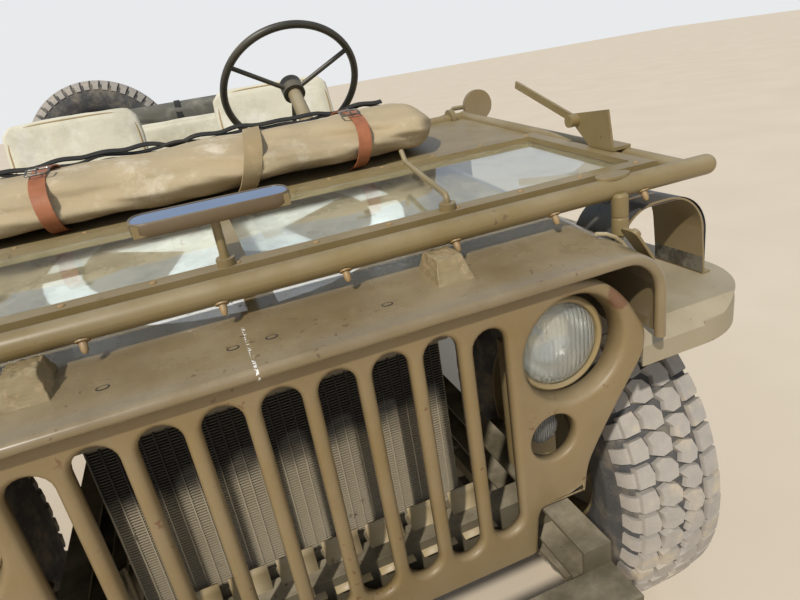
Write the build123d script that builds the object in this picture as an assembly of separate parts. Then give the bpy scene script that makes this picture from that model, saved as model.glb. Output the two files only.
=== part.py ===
from build123d import *
import math
import os

# A small open army car with four driven wheels, in millimetres.
# X points to the car's left, Y to its rear, Z up. The origin is on the ground under its middle.

# Overall sizes
OVERALL_WIDTH = 1575
WHEELBASE = 2032
TRACK = 1245
FRONT_OVERHANG = 550
REAR_OVERHANG = 748
SHEET = 3
RUN_CLEARANCE = 0.4
GAP = 6

# Wheels
TYRE_DIAMETER = 750
TYRE_WIDTH = 205
TREAD_WIDTH = 172
TYRE_WALL = 16
RIM_DIAMETER = 406
RIM_WIDTH = 132
RIM_WALL = 5
RIM_FLANGE = 17
DISC_OFFSET = 12
DISC_DISH = 22
DISC_WALL = 6
HUB_DIAMETER = 104
HUB_REACH = 66
SPINDLE_DIAMETER = 46
DRUM_DIAMETER = 254
DRUM_WIDTH = 44
DRUM_FACE = 20
BACKING_DIAMETER = 268
BACKING_THICKNESS = 8

# Axles and steering
AXLE_TUBE = 72
BALL_DIAMETER = 112
KNUCKLE_WALL = 14
KINGPIN_OFFSET = 95
DIFF_X = -150
DIFF_DIAMETER = 250
DIFF_WIDTH = 170
STEER_ARM = 150
TIE_ROD = 24
PINION_REACH = 175
SHAFT_DIAMETER = 51
SHAFT_JOINT = 84

# Frame
FRAME_WIDTH = 743
FRAME_TOP = 556
FRAME_DEPTH = 102
FRAME_DEPTH_AT_AXLE = 74
KICK_START = 490
KICK_END = 600
RAIL_WIDTH = 44
RAIL_WALL = 5
CROSS_DEPTH = 70
CROSS_WIDTH = 42
BUMPER_LENGTH = 742
BUMPER_HEIGHT = 90
BUMPER_DEPTH = 64
BUMPER_WALL = 6
BUMPER_CENTRE_Z = 475
TOW_HOLE = 20
TOW_HOLE_X = 250
SPRING_WIDTH = 44
SPRING_X = 348
SPRING_LENGTH = 920
SPRING_LEAF = 7
SPRING_LEAVES = 4
SPRING_RISE = 34

# Grille
GRILLE_FACE_BACK = 155
GRILLE_HALF_WIDTH = 514
GRILLE_TOP = 914
GRILLE_BOTTOM = 480
GRILLE_FLANGE = 42
SLOT_COUNT = 9
SLOT_PITCH = 67
SLOT_WIDTH = 48
SLOT_TOP = 885
SLOT_LENGTH = 355
SLOT_DROP = 10
SLOT_ROLL = 14
LAMP_X = 394
LAMP_Z = 806
LAMP_OPENING = 158
LAMP_DIAMETER = 146
LAMP_BACK = 34
MARKER_X = 352
MARKER_Z = 678
MARKER_OPENING = 74
MARKER_DIAMETER = 54
TAIL_LAMP_INSET = 50
TAIL_LAMP_Z = 612
TAIL_LAMP_DIAMETER = 74
TAIL_LAMP_DEPTH = 46

# Radiator and drive
RADIATOR_BACK = 100
RADIATOR_WIDTH = 470
RADIATOR_DEPTH = 62
RADIATOR_BOTTOM = 505
RADIATOR_TOP = 890
TANK_HEIGHT = 56
ENGINE_WIDTH = 300
ENGINE_LENGTH = 540
ENGINE_BOTTOM = 540
ENGINE_TOP = 885
GEARBOX_WIDTH = 250
GEARBOX_BOTTOM = 400
GEARBOX_TOP = 588
TRANSFER_BOTTOM = 300
GEARBOX_LENGTH = 330
TRANSFER_START = 240
TRANSFER_END = 460
ENGINE_SETBACK = 40
EXHAUST_PIPE = 42
EXHAUST_Z = 415
SILENCER_X = -560
SILENCER_FRONT = 314
SILENCER_LENGTH = 500
SILENCER_DIAMETER = 130

# Hood and cowl
HOOD_LENGTH = 830
HOOD_OVERHANG = 10
HOOD_FRONT_TOP = 926
HOOD_REAR_TOP = 1004
HOOD_FRONT_HALF = 534
HOOD_REAR_HALF = 562
HOOD_FRONT_RADIUS = 66
HOOD_REAR_RADIUS = 118
HOOD_BEAD = 16
HOOD_HINGE = 10
COWL_LENGTH = 170
COWL_TOP = 1016
COWL_SHOULDER = 60
TOE_HEIGHT = 188
TOE_LENGTH = 200
HINGE_INSET = 118
HINGE_LIFT = 18
HINGE_WIDTH = 12
HINGE_EYE = 52
BLOCK_X = 252
BLOCK_BASE = 52
BLOCK_CREST = 38
BLOCK_REACH = 66
BLOCK_SLOPE = 20
BLOCK_HEEL = 12

# Body
BODY_HALF = 758
FLOOR_Z = 602
BODY_SIDE_TOP = 915
BODY_BOTTOM = 545
DOOR_SILL = 668
DOOR_FRONT = 60
DOOR_LENGTH = 560
SPARE_GAP = 43
DASH_HEIGHT = 150
HOUSE_INNER = 500
HOUSE_TOP = 846
HOUSE_HALF_LENGTH = 432
ARCH_RADIUS = 418
RAIL_ROLL = 26

# Fenders
FENDER_TOP = 788
FENDER_FRONT_BACK = 16
FENDER_LIP = 58
FENDER_CORNER = 150
FENDER_FALL = 110
FENDER_FOOT_BACK = 124
FENDER_FOOT_Z = 560
FENDER_TUCK = 26
GUARD_X = 650
GUARD_BACK = 175
GUARD_HALF = 90
GUARD_HEIGHT = 148
GUARD_DEPTH = 110
GUARD_BEND = 70
GUARD_FLANGE = 14
CATCH_BACK = 80
CATCH_OUT = 28
CATCH_HEIGHT = 84
CATCH_BOLT = 16

# Windshield
WS_HEIGHT = 753
WS_INSET = 36
WS_TUBE = 32
WS_SIDE_GAP = 44
WS_SIDE_TUBE = 28
WS_PIVOT_BACK = 35
WS_FOLD = 94.1
PANE_GAP = 28
PANE_LOW = 372
PANE_DROP = 36
PANE_BAR = 26
GLASS_THICKNESS = 6
LINK_INSET = 34
LINK_BASE_LOW = 560
LINK_BASE_HIGH = 625
LINK_LENGTH = 206
LINK_PIVOT_RISE = 56
LINK_PIVOT_HEIGHT = 525
KNOB_DIAMETER = 22
WIPER_X = 300
WIPER_ROD = 9
MIRROR_X = -14
MIRROR_WIDTH = 186
MIRROR_DEPTH = 50
MIRROR_RISE = 78
MIRROR_CASE = 14
MIRROR_STALK = 12
COVER_RIGHT = -560
COVER_LEFT = 480
COVER_LOW = 58
COVER_CLEAR = 12
COVER_RISE = 88
COVER_ROUND = 34

# Steering wheel
STEER_X = 345
STEER_BACK = 351
STEER_Z = 1169
STEER_ANGLE = 37
STEER_DIAMETER = 438
STEER_RIM = 22
COLUMN_DIAMETER = 42
COLUMN_LENGTH = 740
STEER_HUB = 68
STEER_HUB_LENGTH = 50
SPOKE = 14
PEDAL_BACK = 240
PEDAL_RISE = 200
PEDAL_WIDTH = 64

# Seats
SEAT_X = 360
SEAT_WIDTH = 460
SEAT_DEPTH = 440
LEG_ROOM = 384
SEAT_TOP = 850
PAD_THICKNESS = 70
BACK_HEIGHT = 330
BACK_THICKNESS = 64
BACK_LEAN = 12
SEAT_TUBE = 26
SEAT_PIN = 8
SEAT_PIVOT_Z = 627
REAR_SEAT_SETBACK = 657
REAR_SEAT_DEPTH = 400
REAR_BACK_HEIGHT = 220
TANK_WIDTH = 380
TANK_LENGTH = 360
FUEL_TANK_HEIGHT = 149

# Folded top
BOW_TUBE = 22
BOW_PITCH = 150
BOW_RISE = 70
BOW_FRONT = 937
FOLD_HALF = 700
FOLD_DEPTH = 200
FOLD_HEIGHT = 170
FOLD_BACK = 20
FOLD_ROUND = 60

# Spare wheel
SPARE_X = -385
SPARE_Z = 960
CARRIER_LOW = 230

# Small fittings
SIDE_MIRROR = 80
SIDE_MIRROR_X = 745
SIDE_MIRROR_FORWARD = 106
SIDE_MIRROR_Z = 1054
GRIP_START = 1074
GRIP_LENGTH = 140
GRIP_Z = 760
GRIP_REACH = 22
GRIP_ROD = 12
BUMPERETTE_X = 360
BUMPERETTE_LOW = 410
BUMPERETTE_HEIGHT = 90
BUMPERETTE_WIDTH = 232
BUMPERETTE_REACH = 90
HOOK_PLATE_WIDTH = 140
HOOK_PLATE_HEIGHT = 90
HOOK_BOLT_X = 45
HOOK_BOLT_Z = 30
HOOK_BOLT_HOLE = 13
HOOK_SHANK = 44
HOOK_RING = 34
HOOK_RING_ROD = 13

# Places worked out from the sizes
OVERALL_LENGTH = FRONT_OVERHANG + WHEELBASE + REAR_OVERHANG
FRONT = -OVERALL_LENGTH / 2
REAR = OVERALL_LENGTH / 2
AXLE_F = FRONT + FRONT_OVERHANG
AXLE_R = AXLE_F + WHEELBASE
AXLE_Z = TYRE_DIAMETER / 2
WHEEL_X = TRACK / 2
KINGPIN_X = WHEEL_X - KINGPIN_OFFSET
GRILLE_Y = FRONT + GRILLE_FACE_BACK
HOOD_FRONT = GRILLE_Y - HOOD_OVERHANG
HOOD_REAR = HOOD_FRONT + HOOD_LENGTH
COWL_FRONT = HOOD_REAR + GAP
COWL_REAR = COWL_FRONT + COWL_LENGTH
RAIL_X = FRAME_WIDTH / 2 - RAIL_WIDTH / 2
SPARE_Y = REAR - TYRE_WIDTH / 2
BODY_REAR = REAR - TYRE_WIDTH - SPARE_GAP
FENDER_FLAT_END = HOOD_REAR - FENDER_FALL
FENDER_FOOT_Y = COWL_FRONT + FENDER_FOOT_BACK
HINGE_X = BODY_HALF - HINGE_INSET
WS_PIVOT_Y = COWL_FRONT + WS_PIVOT_BACK
WS_PIVOT_Z = COWL_TOP + HINGE_LIFT
WS_HALF = BODY_HALF - WS_INSET
WS_SIDE_X = HINGE_X + WS_SIDE_GAP
PANE_HALF = WS_SIDE_X - PANE_GAP
PANE_HIGH = WS_HEIGHT - PANE_DROP
STEER_Y = COWL_REAR + STEER_BACK
SEAT_FRONT = COWL_REAR + LEG_ROOM
REAR_SEAT_FRONT = BODY_REAR - REAR_SEAT_SETBACK


def block(x0, x1, y0, y1, z0, z1):
    """A box between two corners."""
    size = (abs(x1 - x0), abs(y1 - y0), abs(z1 - z0))
    return Pos((x0 + x1) / 2, (y0 + y1) / 2, (z0 + z1) / 2) * Box(*size)


def rod(start, end, diameter):
    """A round bar between two points."""
    a, b = Vector(*start), Vector(*end)
    plane = Plane(origin=a, z_dir=b - a)
    return extrude(plane * Circle(diameter / 2), (b - a).length)


def tube_run(points, diameter, bend):
    """A round bar along straight runs with bent corners."""
    if len(points) == 2:
        return rod(points[0], points[1], diameter)
    path = FilletPolyline(*points, radius=bend)
    section = Plane(origin=path @ 0, z_dir=path % 0) * Circle(diameter / 2)
    return sweep(section, path=path)


def plate_along_x(points, x0, x1):
    """A plate whose outline is drawn in Y and Z."""
    outline = make_face(Polyline(*[(0, y, z) for y, z in points], close=True))
    return Pos(min(x0, x1), 0, 0) * extrude(outline, abs(x1 - x0), dir=(1, 0, 0))


def plate_along_y(points, y0, y1):
    """A plate whose outline is drawn in X and Z."""
    outline = make_face(Polyline(*[(x, 0, z) for x, z in points], close=True))
    return Pos(0, min(y0, y1), 0) * extrude(outline, abs(y1 - y0), dir=(0, 1, 0))


def plate_along_z(points, z0, z1):
    """A plate whose outline is drawn in X and Y."""
    outline = make_face(Polyline(*[(x, y, 0) for x, y in points], close=True))
    return Pos(0, 0, min(z0, z1)) * extrude(outline, abs(z1 - z0), dir=(0, 0, 1))


def disc(centre, axis, diameter, length):
    """A cylinder that starts at a point and runs along an axis."""
    return extrude(Plane(origin=centre, z_dir=axis) * Circle(diameter / 2), length)


def other_side(shape):
    """The same shape on the car's right."""
    return mirror(shape, about=Plane.YZ)


def both(shape):
    """The shape and its copy on the other side, as separate solids."""
    return Compound(children=[*shape.solids(), *other_side(shape).solids()])


def group(*shapes):
    """Several separate solids as one node."""
    return Compound(children=[solid for shape in shapes for solid in shape.solids()])


def save(name, shape):
    """Write one node."""
    solids = shape.solids()
    shape = solids[0] if len(solids) == 1 else Compound(children=list(solids))
    shape.label = name
    export_step(shape, "parts/" + name + ".step")


def turned_x(outline, centre):
    """Turn an outline of radius and width about an axis along X."""
    face = make_face(Polyline(*[(w, 0, r) for w, r in outline], close=True))
    return Pos(*centre) * revolve(face, Axis.X, 360)


# Road wheels
def tyre(centre):
    """A tyre as an open ring, its axis along X."""
    outer = TYRE_DIAMETER / 2
    half = TYRE_WIDTH / 2
    tread = TREAD_WIDTH / 2
    bead = RIM_DIAMETER / 2
    seat = RIM_WIDTH / 2 - RIM_WALL
    right = [
        (seat, bead),
        (seat, bead + RIM_FLANGE + 1),
        (half - 6, bead + 44),
        (half, bead + 78),
        (half - 4, outer - 46),
        (tread, outer - 7),
        (tread * 0.6, outer),
    ]
    inner = [
        (seat - TYRE_WALL, bead),
        (half - 6 - TYRE_WALL, bead + 46),
        (half - TYRE_WALL, bead + 78),
        (half - 4 - TYRE_WALL, outer - 50),
        (tread - TYRE_WALL, outer - TYRE_WALL - 10),
    ]
    left = [(-w, r) for w, r in reversed(right)]
    inner_left = [(-w, r) for w, r in inner]
    return turned_x(right + left + inner_left + inner[::-1], centre)


def barrel():
    """The rim's section."""
    seat = RIM_DIAMETER / 2
    half = RIM_WIDTH / 2
    flange = seat + RIM_FLANGE
    return [
        (-half, flange), (-half + RIM_WALL, flange), (-half + RIM_WALL, seat),
        (half - RIM_WALL, seat), (half - RIM_WALL, flange), (half, flange),
        (half, seat - RIM_WALL), (-half, seat - RIM_WALL),
    ]


def wheel_disc(offset, bore):
    """The section of the dished disc, from its bore out to the rim."""
    seat = RIM_DIAMETER / 2
    face = [
        (offset - 4, bore), (offset + DISC_DISH, 0.42 * seat),
        (offset + DISC_DISH, 0.62 * seat), (offset - 6, seat - RIM_WALL),
    ]
    return face + [(w - DISC_WALL, r) for w, r in reversed(face)]


def rim(centre, side):
    """A steel wheel with its drum and hub. Its outer face points to side along X."""
    bore = SPINDLE_DIAMETER / 2 + RUN_CLEARANCE
    drum_back = DRUM_FACE - 20 - DRUM_WIDTH
    hub = [
        (drum_back, HUB_DIAMETER / 2), (HUB_REACH - 12, HUB_DIAMETER / 2),
        (HUB_REACH, HUB_DIAMETER / 2 - 14), (HUB_REACH, 0), (HUB_REACH - 14, 0),
        (HUB_REACH - 14, bore), (drum_back, bore),
    ]
    drum = [
        (drum_back, DRUM_DIAMETER / 2), (DRUM_FACE - 14, DRUM_DIAMETER / 2),
        (DRUM_FACE - 14, HUB_DIAMETER / 2 - 4), (DRUM_FACE - 20, HUB_DIAMETER / 2 - 4),
        (DRUM_FACE - 20, DRUM_DIAMETER / 2 - 8), (drum_back, DRUM_DIAMETER / 2 - 8),
    ]
    wheel = None
    for outline in (barrel(), wheel_disc(DISC_OFFSET, RIM_DIAMETER / 10), hub, drum):
        ring = turned_x([(side * w, r) for w, r in outline], (0, 0, 0))
        wheel = ring if wheel is None else wheel + ring
    return Pos(*centre) * wheel


WHEELS = (
    # name, centre X, centre Y
    ("front_left", WHEEL_X, AXLE_F),
    ("front_right", -WHEEL_X, AXLE_F),
    ("rear_left", WHEEL_X, AXLE_R),
    ("rear_right", -WHEEL_X, AXLE_R),
)
for name, x, y in WHEELS:
    save("tyre_" + name, tyre((x, y, AXLE_Z)))
    save("wheel_" + name, rim((x, y, AXLE_Z), math.copysign(1, x)))

# Spare wheel, standing behind the body on its carrier
upright = Pos(SPARE_X, SPARE_Y, SPARE_Z) * Rot(0, 0, 90)
save("spare_tyre", upright * tyre((0, 0, 0)))
spare_hub = disc((SPARE_X, BODY_REAR, SPARE_Z), (0, 1, 0), 96, SPARE_Y - BODY_REAR - 8)
carrier_foot = block(SPARE_X - 110, SPARE_X + 110, BODY_REAR, BODY_REAR + 8,
                     SPARE_Z - CARRIER_LOW, SPARE_Z - CARRIER_LOW + 170)
carrier_arm = block(SPARE_X - 25, SPARE_X + 25, BODY_REAR, BODY_REAR + 30, SPARE_Z - CARRIER_LOW, SPARE_Z)
spare_rim = turned_x(barrel(), (0, 0, 0)) + turned_x(wheel_disc(0, 0), (0, 0, 0))
save("spare_wheel", upright * spare_rim + spare_hub + carrier_foot + carrier_arm)


# Axles
def axle_beam(y, reach):
    """An axle tube with its differential housing."""
    beam = rod((-reach, y, AXLE_Z), (reach, y, AXLE_Z), AXLE_TUBE)
    bowl = Pos(DIFF_X, y, AXLE_Z) * Rot(0, 90, 0) * Cylinder(DIFF_DIAMETER / 2, DIFF_WIDTH)
    bowl = fillet(bowl.edges().filter_by(GeomType.CIRCLE), 50)
    return beam + bowl


front_beam = axle_beam(AXLE_F, KINGPIN_X)
for side in (1, -1):
    front_beam += Pos(side * KINGPIN_X, AXLE_F, AXLE_Z) * Sphere(BALL_DIAMETER / 2)
front_beam += rod((DIFF_X, AXLE_F, AXLE_Z), (DIFF_X, AXLE_F + PINION_REACH, AXLE_Z), 96)
backing_x = WHEEL_X + DRUM_FACE - 20 - DRUM_WIDTH - GAP
rear_beam = axle_beam(AXLE_R, backing_x)
rear_beam += rod((DIFF_X, AXLE_R, AXLE_Z), (DIFF_X, AXLE_R - PINION_REACH, AXLE_Z), 96)
for side in (1, -1):
    rear_beam += disc((side * (backing_x - BACKING_THICKNESS), AXLE_R, AXLE_Z), (side, 0, 0),
                      BACKING_DIAMETER, BACKING_THICKNESS)
    rear_beam += disc((side * backing_x, AXLE_R, AXLE_Z), (side, 0, 0),
                      SPINDLE_DIAMETER, WHEEL_X + HUB_REACH - 24 - backing_x)
save("axles", group(front_beam, rear_beam))


# Steering knuckles
def knuckle():
    """The left knuckle: a half shell round the axle's ball, turned in one with its plate and spindle."""
    inner = BALL_DIAMETER / 2 + RUN_CLEARANCE
    outer = BALL_DIAMETER / 2 + KNUCKLE_WALL
    mouth = -8
    half = math.sqrt(0.5)
    plate = backing_x - BACKING_THICKNESS - KINGPIN_X
    stub = math.sqrt(outer * outer - plate * plate)
    end = WHEEL_X + HUB_REACH - 24 - KINGPIN_X
    bend = math.atan2(math.sqrt(outer * outer - mouth * mouth), mouth)
    middle = (bend + math.atan2(stub, plate)) / 2
    mouth_inner = (mouth, 0, math.sqrt(inner * inner - mouth * mouth))
    mouth_outer = (mouth, 0, math.sqrt(outer * outer - mouth * mouth))
    corners = [
        (plate, 0, stub), (plate, 0, BACKING_DIAMETER / 2),
        (plate + BACKING_THICKNESS, 0, BACKING_DIAMETER / 2),
        (plate + BACKING_THICKNESS, 0, SPINDLE_DIAMETER / 2), (end, 0, SPINDLE_DIAMETER / 2),
        (end, 0, 0), (inner, 0, 0),
    ]
    face = make_face([
        ThreePointArc((inner, 0, 0), (inner * half, 0, inner * half), mouth_inner),
        Line(mouth_inner, mouth_outer),
        ThreePointArc(mouth_outer, (outer * math.cos(middle), 0, outer * math.sin(middle)), corners[0]),
        *[Line(a, b) for a, b in zip(corners, corners[1:])],
    ])
    shell = Pos(KINGPIN_X, AXLE_F, AXLE_Z) * revolve(face, Axis.X, 360)
    top = AXLE_Z + outer
    low = AXLE_Z - outer
    shell += disc((KINGPIN_X, AXLE_F, top - 8), (0, 0, 1), 54, 22)
    shell += disc((KINGPIN_X, AXLE_F, low + 8), (0, 0, -1), 54, 22)
    arm_z = low - 4
    shell += rod((KINGPIN_X + 14, AXLE_F, arm_z), (KINGPIN_X, AXLE_F + STEER_ARM, arm_z), 26)
    shell += disc((KINGPIN_X, AXLE_F + STEER_ARM, arm_z - 18), (0, 0, 1), 40, 36)
    return shell


left_knuckle = knuckle()
save("knuckle_left", left_knuckle)
save("knuckle_right", other_side(left_knuckle))
ball_z = AXLE_Z - BALL_DIAMETER / 2 - KNUCKLE_WALL - 22
tie_z = ball_z - TIE_ROD
tie = rod((KINGPIN_X, AXLE_F + STEER_ARM, tie_z), (-KINGPIN_X, AXLE_F + STEER_ARM, tie_z), TIE_ROD)
tie += disc((KINGPIN_X, AXLE_F + STEER_ARM, ball_z), (0, 0, -1), 34, TIE_ROD + 12)
tie += disc((-KINGPIN_X, AXLE_F + STEER_ARM, ball_z - 3), (0, 0, -1), 34, TIE_ROD + 9)
save("tie_rod", tie)


# Frame
def rail():
    """The left side rail, a channel that is shallower over the axles."""
    deep = FRAME_TOP - FRAME_DEPTH
    shallow = FRAME_TOP - FRAME_DEPTH_AT_AXLE
    start = FRONT + BUMPER_DEPTH
    end = BODY_REAR - SHEET
    outline = [
        (start, FRAME_TOP), (end, FRAME_TOP), (end, shallow), (AXLE_R - KICK_START, shallow),
        (AXLE_R - KICK_END, deep), (AXLE_F + KICK_END, deep), (AXLE_F + KICK_START, shallow),
        (start, shallow),
    ]
    outer = plate_along_x(outline, RAIL_X - RAIL_WIDTH / 2, RAIL_X + RAIL_WIDTH / 2)
    w = RAIL_WALL
    pocket = [
        (start + w, FRAME_TOP - w), (end - w, FRAME_TOP - w), (end - w, shallow + w),
        (AXLE_R - KICK_START - 1, shallow + w), (AXLE_R - KICK_END - 1, deep + w),
        (AXLE_F + KICK_END + 1, deep + w), (AXLE_F + KICK_START + 1, shallow + w), (start + w, shallow + w),
    ]
    return outer - plate_along_x(pocket, RAIL_X - RAIL_WIDTH / 2, RAIL_X + RAIL_WIDTH / 2 - w)


left_rail = rail()
frame = left_rail + other_side(left_rail)
inner = RAIL_X + RAIL_WIDTH / 2 - RAIL_WALL
front_cross = GRILLE_Y + GRILLE_FLANGE + CROSS_WIDTH / 2
CROSS_MEMBERS = (
    # middle in Y, lowest height, greatest height
    (front_cross, FRAME_TOP - CROSS_DEPTH, FRAME_TOP - 4),
    (HOOD_REAR - 210, FRAME_TOP - CROSS_DEPTH, ENGINE_BOTTOM),
    (COWL_REAR + 364, FRAME_TOP - CROSS_DEPTH, FRAME_TOP - 4),
    (COWL_REAR + 914, FRAME_TOP - CROSS_DEPTH, FRAME_TOP - 4),
    (AXLE_R - 330, FRAME_TOP - CROSS_DEPTH, FRAME_TOP - 4),
    (BODY_REAR - SHEET - CROSS_WIDTH / 2, FRAME_TOP - CROSS_DEPTH, FRAME_TOP - 4),
)
for y, low, high in CROSS_MEMBERS:
    frame += block(-inner, inner, y - CROSS_WIDTH / 2, y + CROSS_WIDTH / 2, low, high)
# The body stands on short blocks on the rails
for y in (COWL_FRONT + 124, COWL_REAR + 364, COWL_REAR + 914, AXLE_R - 330, BODY_REAR - 60):
    for side in (1, -1):
        frame += block(side * (RAIL_X - 28), side * (RAIL_X + 22), y - 26, y + 26,
                       FRAME_TOP - 1, FLOOR_Z - SHEET)
shelf_front = front_cross + CROSS_WIDTH / 2 - 1
shelf_rear = GRILLE_Y + RADIATOR_BACK + RADIATOR_DEPTH
frame += block(-RADIATOR_WIDTH / 4, RADIATOR_WIDTH / 4, shelf_front, shelf_rear,
               RADIATOR_BOTTOM - 8, RADIATOR_BOTTOM)
save("frame", frame)

# Front bumper, a short channel across the frame's ends, open to the rear, with two towing holes
low = BUMPER_CENTRE_Z - BUMPER_HEIGHT / 2
high = BUMPER_CENTRE_Z + BUMPER_HEIGHT / 2
half = BUMPER_LENGTH / 2
bumper = block(-half, half, FRONT, FRONT + BUMPER_DEPTH, low, high)
bumper -= block(-half + BUMPER_WALL, half - BUMPER_WALL, FRONT + BUMPER_WALL, FRONT + BUMPER_DEPTH,
                low + BUMPER_WALL, high - BUMPER_WALL)
for side in (1, -1):
    bumper -= disc((side * TOW_HOLE_X, FRONT - 1, BUMPER_CENTRE_Z), (0, 1, 0), TOW_HOLE, BUMPER_WALL + 2)


def rear_bumperette(x):
    """One short rear bumper, a bent channel on two arms."""
    low = BUMPERETTE_LOW
    high = low + BUMPERETTE_HEIGHT
    half = BUMPERETTE_WIDTH / 2
    back = BODY_REAR + BUMPERETTE_REACH
    bar = block(x - half, x + half, back - 2 * BUMPER_WALL, back, low, high)
    for side in (1, -1):
        bar += block(x + side * half, x + side * (half - 2 * BUMPER_WALL), BODY_REAR + 2, back, low, high)
    return bar + block(x - half, x + half, BODY_REAR + 2, BODY_REAR + 8, low, FRAME_TOP)


hook_z = FRAME_TOP - CROSS_DEPTH / 2 - 8
draw_plate = block(-HOOK_PLATE_WIDTH / 2, HOOK_PLATE_WIDTH / 2, BODY_REAR - SHEET, BODY_REAR + 9,
                   hook_z - HOOK_PLATE_HEIGHT / 2, hook_z + HOOK_PLATE_HEIGHT / 2)
for x in (-HOOK_BOLT_X, HOOK_BOLT_X):
    for z in (-HOOK_BOLT_Z, HOOK_BOLT_Z):
        draw_plate -= disc((x, BODY_REAR - 10, hook_z + z), (0, 1, 0), HOOK_BOLT_HOLE, 30)
hook = draw_plate + rod((0, BODY_REAR + 6, hook_z), (0, BODY_REAR + 70, hook_z), HOOK_SHANK)
hook += Pos(0, BODY_REAR + 71 + HOOK_RING, hook_z) * Rot(0, 90, 0) * Torus(HOOK_RING, HOOK_RING_ROD)
save("bumpers", group(bumper, rear_bumperette(BUMPERETTE_X), rear_bumperette(-BUMPERETTE_X), hook))


# Leaf springs with their shackles and clamps
def leaf(y, length, bottom, radius):
    """One curved leaf, highest at its ends."""
    half = length / 2
    rise = radius - math.sqrt(radius * radius - half * half)
    top = bottom + SPRING_LEAF
    edges = [
        ThreePointArc((0, y - half, bottom + rise), (0, y, bottom), (0, y + half, bottom + rise)),
        Line((0, y + half, bottom + rise), (0, y + half, top + rise)),
        ThreePointArc((0, y + half, top + rise), (0, y, top), (0, y - half, top + rise)),
        Line((0, y - half, top + rise), (0, y - half, bottom + rise)),
    ]
    face = make_face(edges)
    return Pos(SPRING_X - SPRING_WIDTH / 2, 0, 0) * extrude(face, SPRING_WIDTH, dir=(1, 0, 0))


def spring(y):
    """A left leaf spring over an axle."""
    half = SPRING_LENGTH / 2
    radius = (half * half + SPRING_RISE * SPRING_RISE) / (2 * SPRING_RISE)
    seat = AXLE_Z + AXLE_TUBE / 2
    pack = None
    for i in range(SPRING_LEAVES):
        length = SPRING_LENGTH * (0.4 + 0.2 * i)
        one = leaf(y, min(length, SPRING_LENGTH), seat + i * (SPRING_LEAF - 0.2), radius)
        pack = one if pack is None else pack + one
    top = seat + SPRING_LEAVES * SPRING_LEAF
    pack += block(SPRING_X - 32, SPRING_X + 32, y - 45, y + 45, top - 2, top + 10)
    clamp_top = AXLE_Z - AXLE_TUBE / 2
    for x in (SPRING_X - 27, SPRING_X + 27):
        for bolt_y in (y - 42, y + 42):
            pack += rod((x, bolt_y, clamp_top - 8), (x, bolt_y, top + 14), 9)
    pack += block(SPRING_X - 32, SPRING_X + 32, y - 48, y + 48, clamp_top - 8, clamp_top)
    eye_z = seat + (SPRING_LEAVES - 1) * (SPRING_LEAF - 0.2) + SPRING_RISE
    for end in (-1, 1):
        eye_y = y + end * (half - 2)
        pack += disc((SPRING_X - SPRING_WIDTH / 2, eye_y, eye_z), (1, 0, 0), 30, SPRING_WIDTH)
        pack += block(SPRING_X - 15, SPRING_X + 15, eye_y - 14, eye_y + 14, eye_z,
                      FRAME_TOP - FRAME_DEPTH_AT_AXLE)
    return pack


save("leaf_springs", group(both(spring(AXLE_F)), both(spring(AXLE_R))))

# Engine as one plain block, and the gearbox with its transfer case and propeller shafts
engine_rear = HOOD_REAR - ENGINE_SETBACK
save("engine", block(-ENGINE_WIDTH / 2, ENGINE_WIDTH / 2, engine_rear - ENGINE_LENGTH, engine_rear,
                     ENGINE_BOTTOM, ENGINE_TOP))
transfer_front = engine_rear + TRANSFER_START
transfer_rear = engine_rear + TRANSFER_END
gearbox = block(-GEARBOX_WIDTH / 2, GEARBOX_WIDTH / 2, engine_rear, engine_rear + GEARBOX_LENGTH,
                GEARBOX_BOTTOM, GEARBOX_TOP)
gearbox += block(DIFF_X - 90, GEARBOX_WIDTH / 2 - 20, transfer_front, transfer_rear,
                 TRANSFER_BOTTOM, GEARBOX_TOP - 30)
shaft_z = TRANSFER_BOTTOM + 90
for y0, y1 in ((transfer_front, AXLE_F + PINION_REACH), (transfer_rear, AXLE_R - PINION_REACH)):
    lean = math.copysign(1, y1 - y0)
    gearbox += rod((DIFF_X, y0 - lean * 4, shaft_z), (DIFF_X, y1 - lean * 20, AXLE_Z), SHAFT_DIAMETER)
    gearbox += disc((DIFF_X, y0, shaft_z), (0, lean, 0), SHAFT_JOINT, 60)
    gearbox += disc((DIFF_X, y1 - lean * 1, AXLE_Z), (0, -lean, 0), SHAFT_JOINT, 60)
save("gearbox", gearbox)

# Radiator with a top and a bottom tank
rad_front = GRILLE_Y + RADIATOR_BACK
rad_half = RADIATOR_WIDTH / 2
radiator = block(-rad_half, rad_half, rad_front, rad_front + RADIATOR_DEPTH,
                 RADIATOR_BOTTOM + TANK_HEIGHT, RADIATOR_TOP - TANK_HEIGHT)
for z0 in (RADIATOR_BOTTOM, RADIATOR_TOP - TANK_HEIGHT):
    radiator += block(-rad_half - 12, rad_half + 12, rad_front - 8, rad_front + RADIATOR_DEPTH + 8,
                      z0, z0 + TANK_HEIGHT)
save("radiator", radiator)

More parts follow.
